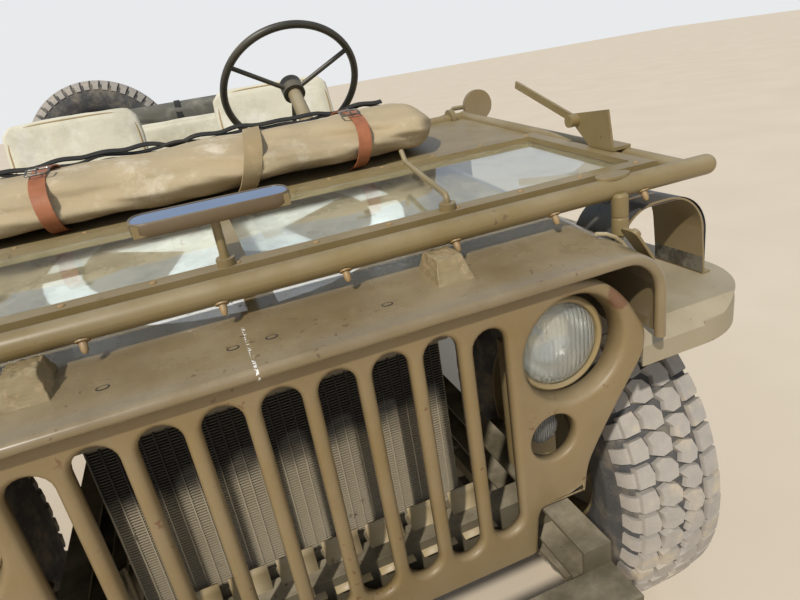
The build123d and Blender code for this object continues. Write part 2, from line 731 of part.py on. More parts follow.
# Exhaust with its silencer under the right side
manifold_x = -ENGINE_WIDTH / 2
silencer_front = COWL_REAR + SILENCER_FRONT
silencer_rear = silencer_front + SILENCER_LENGTH
pipe = tube_run([(manifold_x, engine_rear - 110, 600), (manifold_x - 80, engine_rear - 110, 600),
                 (manifold_x - 110, engine_rear - 30, EXHAUST_Z + 25),
                 (manifold_x - 150, engine_rear + 120, EXHAUST_Z),
                 (SILENCER_X, silencer_front + 40, EXHAUST_Z)], EXHAUST_PIPE, 34)
silencer = rod((SILENCER_X, silencer_front, EXHAUST_Z), (SILENCER_X, silencer_rear, EXHAUST_Z),
               SILENCER_DIAMETER)
tail = tube_run([(SILENCER_X, silencer_rear - 10, EXHAUST_Z), (SILENCER_X, silencer_rear + 90, EXHAUST_Z),
                 (SILENCER_X - 140, silencer_rear + 130, EXHAUST_Z)], EXHAUST_PIPE, 50)
save("exhaust", pipe + silencer + tail)


# Grille: one pressed plate
def stadium(x, top, length, width, y0, depth):
    """A round-ended upright slot as a solid."""
    centre = Plane(origin=(x, y0, top - length / 2), x_dir=(0, 0, 1), z_dir=(0, 1, 0))
    return extrude(centre * SlotOverall(length, width), depth)


def grille_outline():
    """Half of the plate's outline, from the top middle down to the bottom middle, between the rails."""
    rail_inner = RAIL_X - RAIL_WIDTH / 2
    return [
        (0, GRILLE_TOP), (GRILLE_HALF_WIDTH - 144, GRILLE_TOP), (GRILLE_HALF_WIDTH - 74, GRILLE_TOP - 18),
        (GRILLE_HALF_WIDTH - 36, GRILLE_TOP - 52),
        (GRILLE_HALF_WIDTH, GRILLE_TOP - 112), (GRILLE_HALF_WIDTH - 4, GRILLE_TOP - 150),
        (GRILLE_HALF_WIDTH - 35, GRILLE_TOP - 194), (GRILLE_HALF_WIDTH - 77, GRILLE_TOP - 256),
        (GRILLE_HALF_WIDTH - 106, GRILLE_TOP - 306), (GRILLE_HALF_WIDTH - 112, FRAME_TOP + 5),
        (rail_inner - 2, FRAME_TOP + 5), (rail_inner - 8, FRAME_TOP - 6),
        (rail_inner - 16, GRILLE_BOTTOM), (0, GRILLE_BOTTOM),
    ]


half_outline = grille_outline()
full_outline = half_outline + [(-x, z) for x, z in half_outline[-2:0:-1]]
outer_plate = plate_along_y(full_outline, GRILLE_Y, GRILLE_Y + GRILLE_FLANGE)
wire = Polyline(*[(x, 0, z) for x, z in full_outline], close=True)
hollow_face = offset(make_face(wire), -SHEET)
hollow = Pos(0, GRILLE_Y + SHEET, 0) * extrude(hollow_face, GRILLE_FLANGE, dir=(0, 1, 0))
grille = outer_plate - hollow
openings = None
for i in range(SLOT_COUNT):
    x = (i - (SLOT_COUNT - 1) / 2) * SLOT_PITCH
    outermost = i in (0, SLOT_COUNT - 1)
    top = SLOT_TOP - (SLOT_DROP if outermost else 0)
    length = SLOT_LENGTH - (2 * SLOT_DROP if outermost else 0)
    grille += stadium(x, top + SHEET, length + 2 * SHEET, SLOT_WIDTH + 2 * SHEET, GRILLE_Y, SLOT_ROLL)
    cut = stadium(x, top, length, SLOT_WIDTH, GRILLE_Y - 1, SLOT_ROLL + 2)
    openings = cut if openings is None else openings + cut
for side in (1, -1):
    for x, z, size, depth in ((LAMP_X, LAMP_Z, LAMP_OPENING, 22), (MARKER_X, MARKER_Z, MARKER_OPENING, 14)):
        grille += disc((side * x, GRILLE_Y, z), (0, 1, 0), size + 2 * SHEET, depth)
        openings += disc((side * x, GRILLE_Y - 1, z), (0, 1, 0), size, depth + 2)
grille -= openings
save("grille", grille)


# Head lamps on brackets behind their openings, and the small lamps below them
def lamp_at(x, z, y, diameter, depth):
    """A lamp bowl with a domed front."""
    bowl = disc((x, y, z), (0, 1, 0), diameter, 26)
    back = Pos(x, y + 24 + depth / 2, z) * Rot(-90, 0, 0) * Cone(diameter / 2 - 4, diameter / 5, depth)
    return bowl + back


lamps = []
for side in (1, -1):
    lamp_y = GRILLE_Y + LAMP_BACK
    head = lamp_at(side * (LAMP_X - 4), LAMP_Z - 4, lamp_y, LAMP_DIAMETER, 62)
    head += block(side * (MARKER_X - 12), side * (LAMP_X + 18), lamp_y + 60, lamp_y + 92,
                  FRAME_TOP, LAMP_Z - 20)
    small_y = GRILLE_Y + 24
    head += lamp_at(side * MARKER_X, MARKER_Z, small_y, MARKER_DIAMETER, 30)
    head += rod((side * MARKER_X, small_y + 50, MARKER_Z), (side * MARKER_X, lamp_y + 70, MARKER_Z), 16)
    lamps.append(head)
    lamps.append(disc((side * (BODY_HALF - TAIL_LAMP_INSET), BODY_REAR, TAIL_LAMP_Z), (0, 1, 0),
                      TAIL_LAMP_DIAMETER, TAIL_LAMP_DEPTH))
save("lamps", group(*lamps))


# Hood: a pressed shell, rounded at both sides
def cover_section(y, top, half, radius, foot):
    """A cross-section of a rounded cover, closed along its foot."""
    k = radius * (1 - math.sqrt(0.5))
    left_foot, left_side = (-half, y, foot), (-half, y, top - radius)
    left_top, right_top = (-half + radius, y, top), (half - radius, y, top)
    right_side, right_foot = (half, y, top - radius), (half, y, foot)
    return make_face([
        Line(left_foot, left_side),
        ThreePointArc(left_side, (-half + k, y, top - k), left_top),
        Line(left_top, right_top),
        ThreePointArc(right_top, (half - k, y, top - k), right_side),
        Line(right_side, right_foot),
        Line(right_foot, left_foot),
    ])


def cover(front, rear, foot):
    """A pressed cover between two sections of place, top, half width and corner radius."""
    outer = loft([cover_section(*front, foot), cover_section(*rear, foot)], ruled=True)
    past = 1
    hollows = []
    for (y, top, half, radius), step in ((front, -past), (rear, past)):
        hollows.append(cover_section(y + step, top - SHEET, half - SHEET, radius - SHEET, foot - past))
    return outer - loft(hollows, ruled=True)


hood_foot = FENDER_TOP + SHEET
hood = cover((HOOD_FRONT, HOOD_FRONT_TOP, HOOD_FRONT_HALF, HOOD_FRONT_RADIUS),
             (HOOD_REAR, HOOD_REAR_TOP, HOOD_REAR_HALF, HOOD_REAR_RADIUS), hood_foot)
bead_in = HOOD_BEAD / 2
h, t, r = HOOD_FRONT_HALF - bead_in, HOOD_FRONT_TOP - bead_in, HOOD_FRONT_RADIUS - bead_in
bead_path = FilletPolyline((-h, HOOD_FRONT, hood_foot), (-h, HOOD_FRONT, t), (h, HOOD_FRONT, t),
                           (h, HOOD_FRONT, hood_foot), radius=r)
bead = sweep(Plane(origin=bead_path @ 0, z_dir=bead_path % 0) * Circle(HOOD_BEAD / 2), path=bead_path)
hinge_half = HOOD_REAR_HALF - HOOD_REAR_RADIUS
hinge_y = COWL_FRONT - HOOD_HINGE / 2
hinge_z = HOOD_REAR_TOP - SHEET
hinge_roll = rod((-hinge_half, hinge_y, hinge_z), (hinge_half, hinge_y, hinge_z), HOOD_HINGE)
save("hood", hood + bead + hinge_roll)


def hood_top(y):
    """Height of the hood's flat top at a place along the car."""
    return HOOD_FRONT_TOP + (HOOD_REAR_TOP - HOOD_FRONT_TOP) * (y - HOOD_FRONT) / (HOOD_REAR - HOOD_FRONT)


# The folded windshield's top tube rests on two wooden blocks
fold = math.radians(WS_FOLD)
top_y = WS_PIVOT_Y - WS_HEIGHT * math.sin(fold)
top_z = WS_PIVOT_Z + WS_HEIGHT * math.cos(fold)
block_front = top_y - BLOCK_REACH
block_back = top_y + BLOCK_HEEL
block_base_z = hood_top(block_front) - 1
block_top_z = top_z - WS_TUBE / 2 - 0.5
blocks = []
for side in (1, -1):
    x = side * BLOCK_X
    wedge = plate_along_y([(x - BLOCK_BASE / 2, block_base_z), (x + BLOCK_BASE / 2, block_base_z),
                           (x + BLOCK_CREST / 2, block_top_z), (x - BLOCK_CREST / 2, block_top_z)],
                          block_front, block_back)
    profile = plate_along_x([(block_front, hood_top(block_front) + 0.3),
                             (block_back, hood_top(block_back) + 0.3),
                             (block_back, block_top_z), (block_front + BLOCK_SLOPE, block_top_z),
                             (block_front, block_top_z - BLOCK_SLOPE / 2)], x - BLOCK_BASE, x + BLOCK_BASE)
    blocks.append(wedge & profile)
save("hood_blocks", group(*blocks))


# Front fenders
def hood_side(y):
    """Half width of the hood at a place along the car."""
    return HOOD_FRONT_HALF + (HOOD_REAR_HALF - HOOD_FRONT_HALF) * (y - HOOD_FRONT) / (HOOD_REAR - HOOD_FRONT)


def fender():
    """The left front fender: a flat shelf with a rolled edge and a sloping rear."""
    front = GRILLE_Y + FENDER_FRONT_BACK
    outer = OVERALL_WIDTH / 2
    top = FENDER_TOP
    side_view = [
        (front, top - FENDER_LIP), (front, top - 26), (front + 26, top), (FENDER_FLAT_END, top),
        (FENDER_FLAT_END + 110, top - 60), (FENDER_FOOT_Y, FENDER_FOOT_Z),
        (FENDER_FOOT_Y - SHEET, FENDER_FOOT_Z), (FENDER_FLAT_END + 110 - SHEET, top - 60 - SHEET),
        (FENDER_FLAT_END - 1, top - SHEET), (front + 27, top - SHEET), (front + SHEET, top - 27),
        (front + SHEET, top - FENDER_LIP),
    ]
    shelf = plate_along_x(side_view, hood_side(front) - 40, outer)
    skirt = [
        (front, top - FENDER_LIP), (front, top - 26), (front + 26, top), (FENDER_FLAT_END, top),
        (FENDER_FLAT_END + 110, top - 60), (FENDER_FOOT_Y, FENDER_FOOT_Z),
        (FENDER_FOOT_Y - 62, FENDER_FOOT_Z), (FENDER_FLAT_END + 78, top - 92),
        (FENDER_FLAT_END - 14, top - FENDER_LIP),
    ]
    edge = plate_along_x(skirt, outer - SHEET, outer)
    body = shelf + edge
    # The plan outline rounds the front corner, passes the grille, reaches under the hood and meets the cowl
    corner = FENDER_CORNER
    foot_y = FENDER_FOOT_Y + 2
    foot_x = HOOD_REAR_HALF + (BODY_HALF - HOOD_REAR_HALF) * (foot_y - COWL_FRONT) / COWL_LENGTH
    grille_rear = GRILLE_Y + GRILLE_FLANGE + GAP
    beside_grille = GRILLE_HALF_WIDTH + GAP
    inner_edge = [
        (foot_x, foot_y, 0), (HOOD_REAR_HALF, COWL_FRONT, 0),
        (hood_side(HOOD_REAR) - FENDER_TUCK, COWL_FRONT, 0),
        (hood_side(grille_rear) - FENDER_TUCK, grille_rear, 0), (beside_grille, grille_rear, 0),
        (beside_grille, front, 0),
    ]
    plan = make_face([
        Line(inner_edge[-1], (outer - corner, front, 0)),
        ThreePointArc((outer - corner, front, 0), (outer - corner * 0.293, front + corner * 0.293, 0),
                      (outer, front + corner, 0)),
        Line((outer, front + corner, 0), (outer, foot_y, 0)),
        Line((outer, foot_y, 0), inner_edge[0]),
        *[Line(a, b) for a, b in zip(inner_edge, inner_edge[1:])],
    ])
    body = body & extrude(plan, 1000, dir=(0, 0, 1))
    rim_face = make_face([
        ThreePointArc((outer - corner, front, 0), (outer - corner * 0.293, front + corner * 0.293, 0),
                      (outer, front + corner, 0)),
        Line((outer, front + corner, 0), (outer - SHEET, front + corner, 0)),
        ThreePointArc((outer - SHEET, front + corner, 0),
                      (outer - corner * 0.293 - 2.1, front + corner * 0.293 + 2.1, 0),
                      (outer - corner, front + SHEET, 0)),
        Line((outer - corner, front + SHEET, 0), (outer - corner, front, 0)),
    ])
    return body + Pos(0, 0, top - FENDER_LIP) * extrude(rim_face, FENDER_LIP - 20, dir=(0, 0, 1))


left_fender = fender()
save("fender_left", left_fender)
save("fender_right", other_side(left_fender))

# The bent guard of a missing lamp, standing on the left fender
guard_y = GRILLE_Y + GUARD_BACK
guard_top = FENDER_TOP + GUARD_HEIGHT
guard_foot = FENDER_TOP + SHEET
guard_crown = GUARD_HALF - 12
guard_corners = [(GUARD_X - GUARD_HALF, guard_foot), (GUARD_X - guard_crown, guard_top),
                 (GUARD_X + guard_crown, guard_top), (GUARD_X + GUARD_HALF, guard_foot)]
guard_path = FilletPolyline(*[(x, guard_y, z) for x, z in guard_corners], radius=GUARD_BEND)
guard_plane = Plane(origin=guard_path @ 0, z_dir=guard_path % 0, x_dir=(0, 1, 0))
guard = sweep(guard_plane * Rectangle(GUARD_DEPTH, SHEET), path=guard_path)
for side in (1, -1):
    x = GUARD_X + side * GUARD_HALF
    guard += block(x - side * 2, x + side * GUARD_FLANGE,
                   guard_y - GUARD_DEPTH / 2, guard_y + GUARD_DEPTH / 2, FENDER_TOP, FENDER_TOP + 4)

# Cowl: a pressed box that flares from the hood to the body, closed by the firewall, with its toe board
cowl_foot = BODY_BOTTOM + 20
cowl = loft([cover_section(COWL_FRONT, HOOD_REAR_TOP, HOOD_REAR_HALF, HOOD_REAR_RADIUS, cowl_foot),
             cover_section(COWL_REAR, COWL_TOP, BODY_HALF, COWL_SHOULDER, cowl_foot)], ruled=True)
cowl -= loft([cover_section(COWL_FRONT + SHEET, HOOD_REAR_TOP - SHEET, HOOD_REAR_HALF - SHEET,
                            HOOD_REAR_RADIUS - SHEET, cowl_foot - 1),
              cover_section(COWL_REAR + 1, COWL_TOP - SHEET, BODY_HALF - SHEET, COWL_SHOULDER - SHEET,
                            cowl_foot - 1)], ruled=True)
toe_half = HOOD_REAR_HALF - 2 * SHEET
cowl += plate_along_x([(COWL_FRONT + 1, FLOOR_Z + TOE_HEIGHT), (COWL_FRONT + SHEET + 1, FLOOR_Z + TOE_HEIGHT),
                       (COWL_FRONT + TOE_LENGTH, FLOOR_Z), (COWL_FRONT + TOE_LENGTH - 5, FLOOR_Z),
                       (COWL_FRONT + 1, FLOOR_Z + TOE_HEIGHT - 5)], -toe_half, toe_half)
cowl -= block(-GEARBOX_WIDTH / 2 - GAP, GEARBOX_WIDTH / 2 + GAP, COWL_FRONT - 1, COWL_FRONT + SHEET + 1,
              cowl_foot - 1, GEARBOX_TOP + GAP)
# The windshield's lower tube turns in two brackets that stand on the cowl's rear shoulders
bracket = disc((HINGE_X, WS_PIVOT_Y, WS_PIVOT_Z), (1, 0, 0), HINGE_EYE, HINGE_WIDTH)
bracket += plate_along_x([(WS_PIVOT_Y, WS_PIVOT_Z + HINGE_EYE / 3), (COWL_REAR - 4, COWL_TOP + 14),
                          (COWL_REAR - 4, COWL_TOP - SHEET / 2), (WS_PIVOT_Y, WS_PIVOT_Z - HINGE_EYE / 3)],
                         HINGE_X, HINGE_X + HINGE_WIDTH)
bracket -= disc((HINGE_X - 1, WS_PIVOT_Y, WS_PIVOT_Z), (1, 0, 0),
                WS_SIDE_TUBE + 2 * RUN_CLEARANCE, HINGE_WIDTH + 2)
cowl += bracket
cowl += other_side(bracket)
axis = Vector(0, math.cos(math.radians(STEER_ANGLE)), math.sin(math.radians(STEER_ANGLE)))
wheel_centre = Vector(STEER_X, STEER_Y, STEER_Z)
column_foot = wheel_centre - axis * COLUMN_LENGTH
column_room = rod(tuple(column_foot), tuple(wheel_centre), COLUMN_DIAMETER + 2 * GAP)
# Dashboard with its round instruments, welded to the cowl's rear edge
dash_half = BODY_HALF - SHEET - 1
dash_flat = dash_half - COWL_SHOULDER
cowl += plate_along_y([(-dash_flat, COWL_TOP - SHEET / 2), (dash_flat, COWL_TOP - SHEET / 2),
                       (dash_half, COWL_TOP - COWL_SHOULDER), (dash_half, COWL_TOP - DASH_HEIGHT),
                       (-dash_half, COWL_TOP - DASH_HEIGHT), (-dash_half, COWL_TOP - COWL_SHOULDER)],
                      COWL_REAR, COWL_REAR + SHEET)
DIALS = (
    # X, height below the cowl's top, diameter
    (0, 62, 84), (-82, 46, 54), (82, 46, 54), (-82, 104, 54), (82, 104, 54),
)
for x, down, size in DIALS:
    cowl += disc((x, COWL_REAR + SHEET - 1, COWL_TOP - down), (0, 1, 0), size, 12)
cowl -= column_room
save("cowl", cowl)

# Floor of the body
house_front = AXLE_R - HOUSE_HALF_LENGTH
house_rear = AXLE_R + HOUSE_HALF_LENGTH
inside = BODY_HALF - SHEET
floor = plate_along_z([
    (-HOOD_REAR_HALF + SHEET, COWL_FRONT + SHEET), (HOOD_REAR_HALF - SHEET, COWL_FRONT + SHEET),
    (inside - 3, COWL_REAR), (inside, COWL_REAR), (inside, BODY_REAR - SHEET),
    (-inside, BODY_REAR - SHEET), (-inside, COWL_REAR), (-inside + 3, COWL_REAR),
], FLOOR_Z - SHEET, FLOOR_Z)
for side in (1, -1):
    floor -= block(side * (HOUSE_INNER - SHEET), side * BODY_HALF, house_front, house_rear,
                   FLOOR_Z - 2 * SHEET, FLOOR_Z + SHEET)
save("floor", floor)


# Body sides with the wheel housings
def body_side():
    """The left side: an open doorway, a rounded wheel arch and a rolled top edge."""
    door_front = COWL_REAR + DOOR_FRONT
    door_rear = door_front + DOOR_LENGTH
    top = BODY_SIDE_TOP
    outline = make_face(Polyline(*[(0, y, z) for y, z in [
        (COWL_REAR, BODY_BOTTOM), (COWL_REAR, COWL_TOP - 60), (COWL_REAR + 26, COWL_TOP - 92),
        (door_front - 14, DOOR_SILL + 60), (door_front + 30, DOOR_SILL + 12), (door_front + 74, DOOR_SILL),
        (door_rear - 60, DOOR_SILL), (door_rear - 14, DOOR_SILL + 14), (door_rear + 20, DOOR_SILL + 52),
        (door_rear + 70, top - 26), (door_rear + 110, top), (BODY_REAR, top), (BODY_REAR, BODY_BOTTOM),
    ]], close=True))
    panel = Pos(BODY_HALF - SHEET, 0, 0) * extrude(outline, SHEET, dir=(1, 0, 0))
    panel -= disc((BODY_HALF - 40, AXLE_R, AXLE_Z), (1, 0, 0), 2 * ARCH_RADIUS, 80)
    roll = tube_run([(BODY_HALF - RAIL_ROLL / 2, door_rear + 110, top - 6),
                     (BODY_HALF - RAIL_ROLL / 2, BODY_REAR - SHEET, top - 6)], RAIL_ROLL, 10)
    panel += roll
    panel += block(HOUSE_INNER - SHEET, HOUSE_INNER, house_front, house_rear, BODY_BOTTOM + 30, HOUSE_TOP)
    panel += block(HOUSE_INNER - SHEET, BODY_HALF - SHEET / 2, house_front, house_rear,
                   HOUSE_TOP - SHEET, HOUSE_TOP)
    for y in (house_front, house_rear - SHEET):
        panel += block(HOUSE_INNER - SHEET, BODY_HALF - SHEET / 2, y, y + SHEET, BODY_BOTTOM + 30, HOUSE_TOP)
    panel -= disc((HOUSE_INNER + 2, AXLE_R, AXLE_Z), (1, 0, 0), 2 * ARCH_RADIUS, BODY_HALF)
    return panel


left_side = body_side()
save("body_side_left", left_side)
save("body_side_right", other_side(left_side))
rear_low_edge = FRAME_TOP + 4
rear_panel = plate_along_y([(-inside, rear_low_edge), (inside, rear_low_edge), (inside, BODY_SIDE_TOP),
                            (-inside, BODY_SIDE_TOP)], BODY_REAR - SHEET, BODY_REAR)
roll_end = BODY_HALF - RAIL_ROLL - 1
rear_panel += rod((-roll_end, BODY_REAR - RAIL_ROLL / 2, BODY_SIDE_TOP - 6),
                  (roll_end, BODY_REAR - RAIL_ROLL / 2, BODY_SIDE_TOP - 6), RAIL_ROLL)
save("rear_panel", rear_panel)

# Small fittings on the body: side mirror, hand grips, hood catches
mirror_y = COWL_REAR - SIDE_MIRROR_FORWARD
arm_x = BODY_HALF - 30
arm_y = COWL_REAR + 34
arm_z = COWL_TOP - 64
fittings = [
    guard,
    disc((SIDE_MIRROR_X, mirror_y, SIDE_MIRROR_Z), (0, 1, 0), SIDE_MIRROR, MIRROR_CASE)
    + tube_run([(arm_x, arm_y, arm_z), (arm_x, arm_y, SIDE_MIRROR_Z - 10),
                (SIDE_MIRROR_X, mirror_y + MIRROR_CASE - 2, SIDE_MIRROR_Z)], MIRROR_STALK, 20)
    + block(arm_x - 14, BODY_HALF - SHEET, COWL_REAR + 6, COWL_REAR + 22, arm_z - 52, arm_z + 8)
    + rod((arm_x, arm_y, arm_z), (arm_x, COWL_REAR + 14, arm_z - 12), MIRROR_STALK),
]
catch_y = GRILLE_Y + CATCH_BACK
catch_x = hood_side(catch_y) + CATCH_OUT
grip_y = COWL_REAR + GRIP_START
for side in (1, -1):
    grip_x = side * (BODY_HALF + GRIP_REACH)
    fittings.append(tube_run([(side * BODY_HALF, grip_y, GRIP_Z), (grip_x, grip_y, GRIP_Z),
                              (grip_x, grip_y + GRIP_LENGTH, GRIP_Z),
                              (side * BODY_HALF, grip_y + GRIP_LENGTH, GRIP_Z)], GRIP_ROD, 12))
    catch = block(side * (catch_x - 16), side * (catch_x + 16), catch_y - 22, catch_y + 22,
                  FENDER_TOP, FENDER_TOP + 8)
    catch += rod((side * catch_x, catch_y, FENDER_TOP + 6),
                 (side * catch_x, catch_y, FENDER_TOP + CATCH_HEIGHT), CATCH_BOLT)
    fittings.append(catch)
# Ears on the floor hold the front feet of both front seats
for x in (SEAT_X, -SEAT_X):
    for foot in (x - SEAT_WIDTH / 2 + 20, x + SEAT_WIDTH / 2 - 20):
        for ear in (foot - SEAT_TUBE / 2 - 5, foot + SEAT_TUBE / 2 + 1):
            plate = block(ear, ear + 4, SEAT_FRONT - 18, SEAT_FRONT + 18, FLOOR_Z, SEAT_PIVOT_Z + 18)
            fittings.append(plate - disc((ear - 1, SEAT_FRONT, SEAT_PIVOT_Z), (1, 0, 0),
                                         SEAT_PIN + 2 * RUN_CLEARANCE, 6))
save("body_fittings", group(*fittings))


# Windshield, modelled standing up and then laid forward onto the hood
def folded(shape):
    """Lay a shape that is drawn upright forward about the hinge."""
    hinge = Pos(0, WS_PIVOT_Y, WS_PIVOT_Z)
    return hinge * Rot(WS_FOLD, 0, 0) * shape


ws_frame = rod((-WS_HALF, 0, WS_HEIGHT), (WS_HALF, 0, WS_HEIGHT), WS_TUBE)
ws_frame += rod((-WS_SIDE_X, 0, 0), (WS_SIDE_X, 0, 0), WS_SIDE_TUBE)
for side in (1, -1):
    ws_frame += rod((side * WS_SIDE_X, 0, 0), (side * WS_SIDE_X, 0, WS_HEIGHT), WS_SIDE_TUBE)
    ws_frame += Pos(side * WS_SIDE_X, 0, 0) * Sphere(WS_SIDE_TUBE / 2 + 2)
    ws_frame += Pos(side * WS_HALF, 0, WS_HEIGHT) * Sphere(WS_TUBE / 2)
bar = PANE_BAR
inner_frame = block(-PANE_HALF, PANE_HALF, -bar / 2, bar / 2, PANE_LOW, PANE_HIGH)
for x0, x1 in ((-PANE_HALF + bar, -bar / 2), (bar / 2, PANE_HALF - bar)):
    inner_frame -= block(x0, x1, -bar, bar, PANE_LOW + bar, PANE_HIGH - bar)
for side in (1, -1):
    inner_frame += block(side * (PANE_HALF - 2), side * (WS_SIDE_X - 4), -8, 8,
                         PANE_HIGH - 40, PANE_HIGH - 10)
# A sheet closes the frame below the glass
panel = block(-WS_SIDE_X, WS_SIDE_X, -SHEET / 2, SHEET / 2, 0, PANE_LOW + 2)
notch = block(HINGE_X - 4, HINGE_X + HINGE_WIDTH + 4, -SHEET, SHEET, -1, HINGE_EYE / 2 + 4)
panel = panel - notch - other_side(notch)
save("windshield_frame", folded(ws_frame + inner_frame + panel))
panes = []
for x0, x1 in ((-PANE_HALF + bar, -bar / 2), (bar / 2, PANE_HALF - bar)):
    panes.append(block(x0, x1, -GLASS_THICKNESS / 2, GLASS_THICKNESS / 2, PANE_LOW + bar, PANE_HIGH - bar))
save("windshield_glass", folded(group(*panes)))
# The glass frame's stay: a plate on the side tube, a clamping knob and a slotted link
link_x = WS_SIDE_X - LINK_INSET
rise = LINK_PIVOT_RISE
height = LINK_PIVOT_HEIGHT
stay = plate_along_x([(16, LINK_BASE_LOW), (16, LINK_BASE_HIGH), (rise + 26, LINK_BASE_HIGH - 16),
                      (rise + 10, height - 10), (rise - 8, height - 10)], link_x, link_x + 4)
stay += block(link_x, WS_SIDE_X + 4, WS_SIDE_TUBE / 2, 20, LINK_BASE_LOW, LINK_BASE_HIGH)
stay += disc((link_x - 18, rise, height), (1, 0, 0), KNOB_DIAMETER, 20)
link = block(link_x - 4, link_x + 1, -7, 7, -LINK_LENGTH, 8)
stay += Pos(0, rise, height) * Rot(14, 0, 0) * link
foot_z = PANE_HIGH - PANE_BAR / 2
wiper = tube_run([(WIPER_X, 16, foot_z), (WIPER_X, 34, foot_z), (WIPER_X + 6, 34, foot_z - 44),
                  (WIPER_X + 32, 34, foot_z - 234), (WIPER_X + 32, 52, foot_z - 250)], WIPER_ROD, 8)
wiper += disc((WIPER_X, PANE_BAR / 2, foot_z), (0, 1, 0), 24, 10)
looking = block(MIRROR_X - MIRROR_WIDTH / 2, MIRROR_X + MIRROR_WIDTH / 2,
                MIRROR_RISE, MIRROR_RISE + MIRROR_CASE,
                foot_z - MIRROR_DEPTH / 2, foot_z + MIRROR_DEPTH / 2)
looking += rod((MIRROR_X, 19, foot_z), (MIRROR_X, MIRROR_RISE + 2, foot_z), MIRROR_STALK)
looking += disc((MIRROR_X, PANE_BAR / 2, foot_z), (0, 1, 0), 24, 10)
save("windshield_fittings", folded(group(both(stay), wiper, looking)))

# Steering wheel and column, pedals and levers
plane = Plane(origin=wheel_centre, z_dir=axis, x_dir=(1, 0, 0))
steer = plane * Torus(STEER_DIAMETER / 2 - STEER_RIM / 2, STEER_RIM / 2)
steer += plane * Pos(0, 0, -10) * Cylinder(STEER_HUB / 2, STEER_HUB_LENGTH)
for angle in (90, 210, 330):
    reach = STEER_DIAMETER / 2 - STEER_RIM / 2
    a = math.radians(angle)
    end = wheel_centre + plane.x_dir * (reach * math.cos(a)) + plane.y_dir * (reach * math.sin(a))
    steer += rod(tuple(wheel_centre - axis * 20), tuple(end), SPOKE)
save("steering_wheel", steer)
column_head = wheel_centre - axis * (10 + STEER_HUB_LENGTH / 2 + 1)
controls = [rod(tuple(column_foot), tuple(column_head), COLUMN_DIAMETER)
            + block(STEER_X - 60, STEER_X + 40, column_foot.Y - 60, column_foot.Y + 60,
                    FRAME_TOP, column_foot.Z + 30)]
for x in (STEER_X - 150, STEER_X - 60, STEER_X + 90):
    foot_y = COWL_FRONT + PEDAL_BACK
    pedal_z = FLOOR_Z + PEDAL_RISE
    controls.append(rod((x, foot_y, FLOOR_Z + 5), (x, foot_y - 50, pedal_z), 16)
                    + disc((x, foot_y, FLOOR_Z), (0, 0, 1), 44, 10)
                    + block(x - PEDAL_WIDTH / 2, x + PEDAL_WIDTH / 2, foot_y - 56, foot_y - 42,
                            pedal_z - 30, pedal_z + 40))
LEVERS = (
    # X at the floor, distance behind the cowl, X of the knob, distance behind the cowl, height of the knob
    (30, 184, 50, 264, 400), (-20, 214, -22, 252, 240), (-62, 214, -64, 252, 220),
)
for x, back, knob_x, knob_back, rise in LEVERS:
    foot = (x, COWL_REAR + back)
    knob = (knob_x, COWL_REAR + knob_back, FLOOR_Z + rise)
    controls.append(rod((*foot, FLOOR_Z + 6), knob, 13) + Pos(*knob) * Sphere(20)
                    + disc((*foot, FLOOR_Z), (0, 0, 1), 40, 14))
save("controls", group(*controls))


# Seats: tube frames with canvas pads
def seat_frame(x):
    """A front seat's frame of bent tube on four legs."""
    w = SEAT_WIDTH / 2 - 20
    y0, y1 = SEAT_FRONT, SEAT_FRONT + SEAT_DEPTH
    z = SEAT_TOP - PAD_THICKNESS - SEAT_TUBE / 2 - 1
    lean = math.tan(math.radians(BACK_LEAN))
    top = SEAT_TOP + BACK_HEIGHT - 30
    back_y = y1 + 20
    hoop = tube_run([
        (x - w, y0, FLOOR_Z + GAP), (x - w, y0, z), (x - w, back_y, z),
        (x - w, back_y + (top - z) * lean, top), (x + w, back_y + (top - z) * lean, top),
        (x + w, back_y, z), (x + w, y0, z), (x + w, y0, FLOOR_Z + GAP)], SEAT_TUBE, 45)
    for dx in (-w, w):
        hoop += rod((x + dx - 20, y0, SEAT_PIVOT_Z), (x + dx + 20, y0, SEAT_PIVOT_Z), SEAT_PIN)
    for dx in (-w, w):
        hoop += rod((x + dx, y1 - 20, FLOOR_Z), (x + dx, y1 - 20, z), SEAT_TUBE)
    hoop += rod((x - w, y0 + 60, z), (x + w, y0 + 60, z), SEAT_TUBE)
    hoop += rod((x - w, y1 - 20, z), (x + w, y1 - 20, z), SEAT_TUBE)
    return hoop


def pad(x0, x1, y0, y1, z0, z1, radius):
    """A cushion with rounded corners."""
    body = block(x0, x1, y0, y1, z0, z1)
    return fillet(body.edges(), radius)


def seat_pads(x):
    """The bottom and back cushions of a front seat."""
    w = SEAT_WIDTH / 2
    y1 = SEAT_FRONT + SEAT_DEPTH
    bottom = pad(x - w, x + w, SEAT_FRONT, y1 - 30, SEAT_TOP - PAD_THICKNESS, SEAT_TOP, 24)
    back = pad(x - w, x + w, -BACK_THICKNESS, 0, 0, BACK_HEIGHT, 24)
    lean = math.tan(math.radians(BACK_LEAN))
    z = SEAT_TOP - PAD_THICKNESS - SEAT_TUBE / 2 - 1
    start = y1 + 20 + (SEAT_TOP - z) * lean - SEAT_TUBE / 2 - 2
    return group(bottom, Pos(x, start, SEAT_TOP + 10) * Rot(-BACK_LEAN, 0, 0) * Pos(-x, 0, 0) * back)


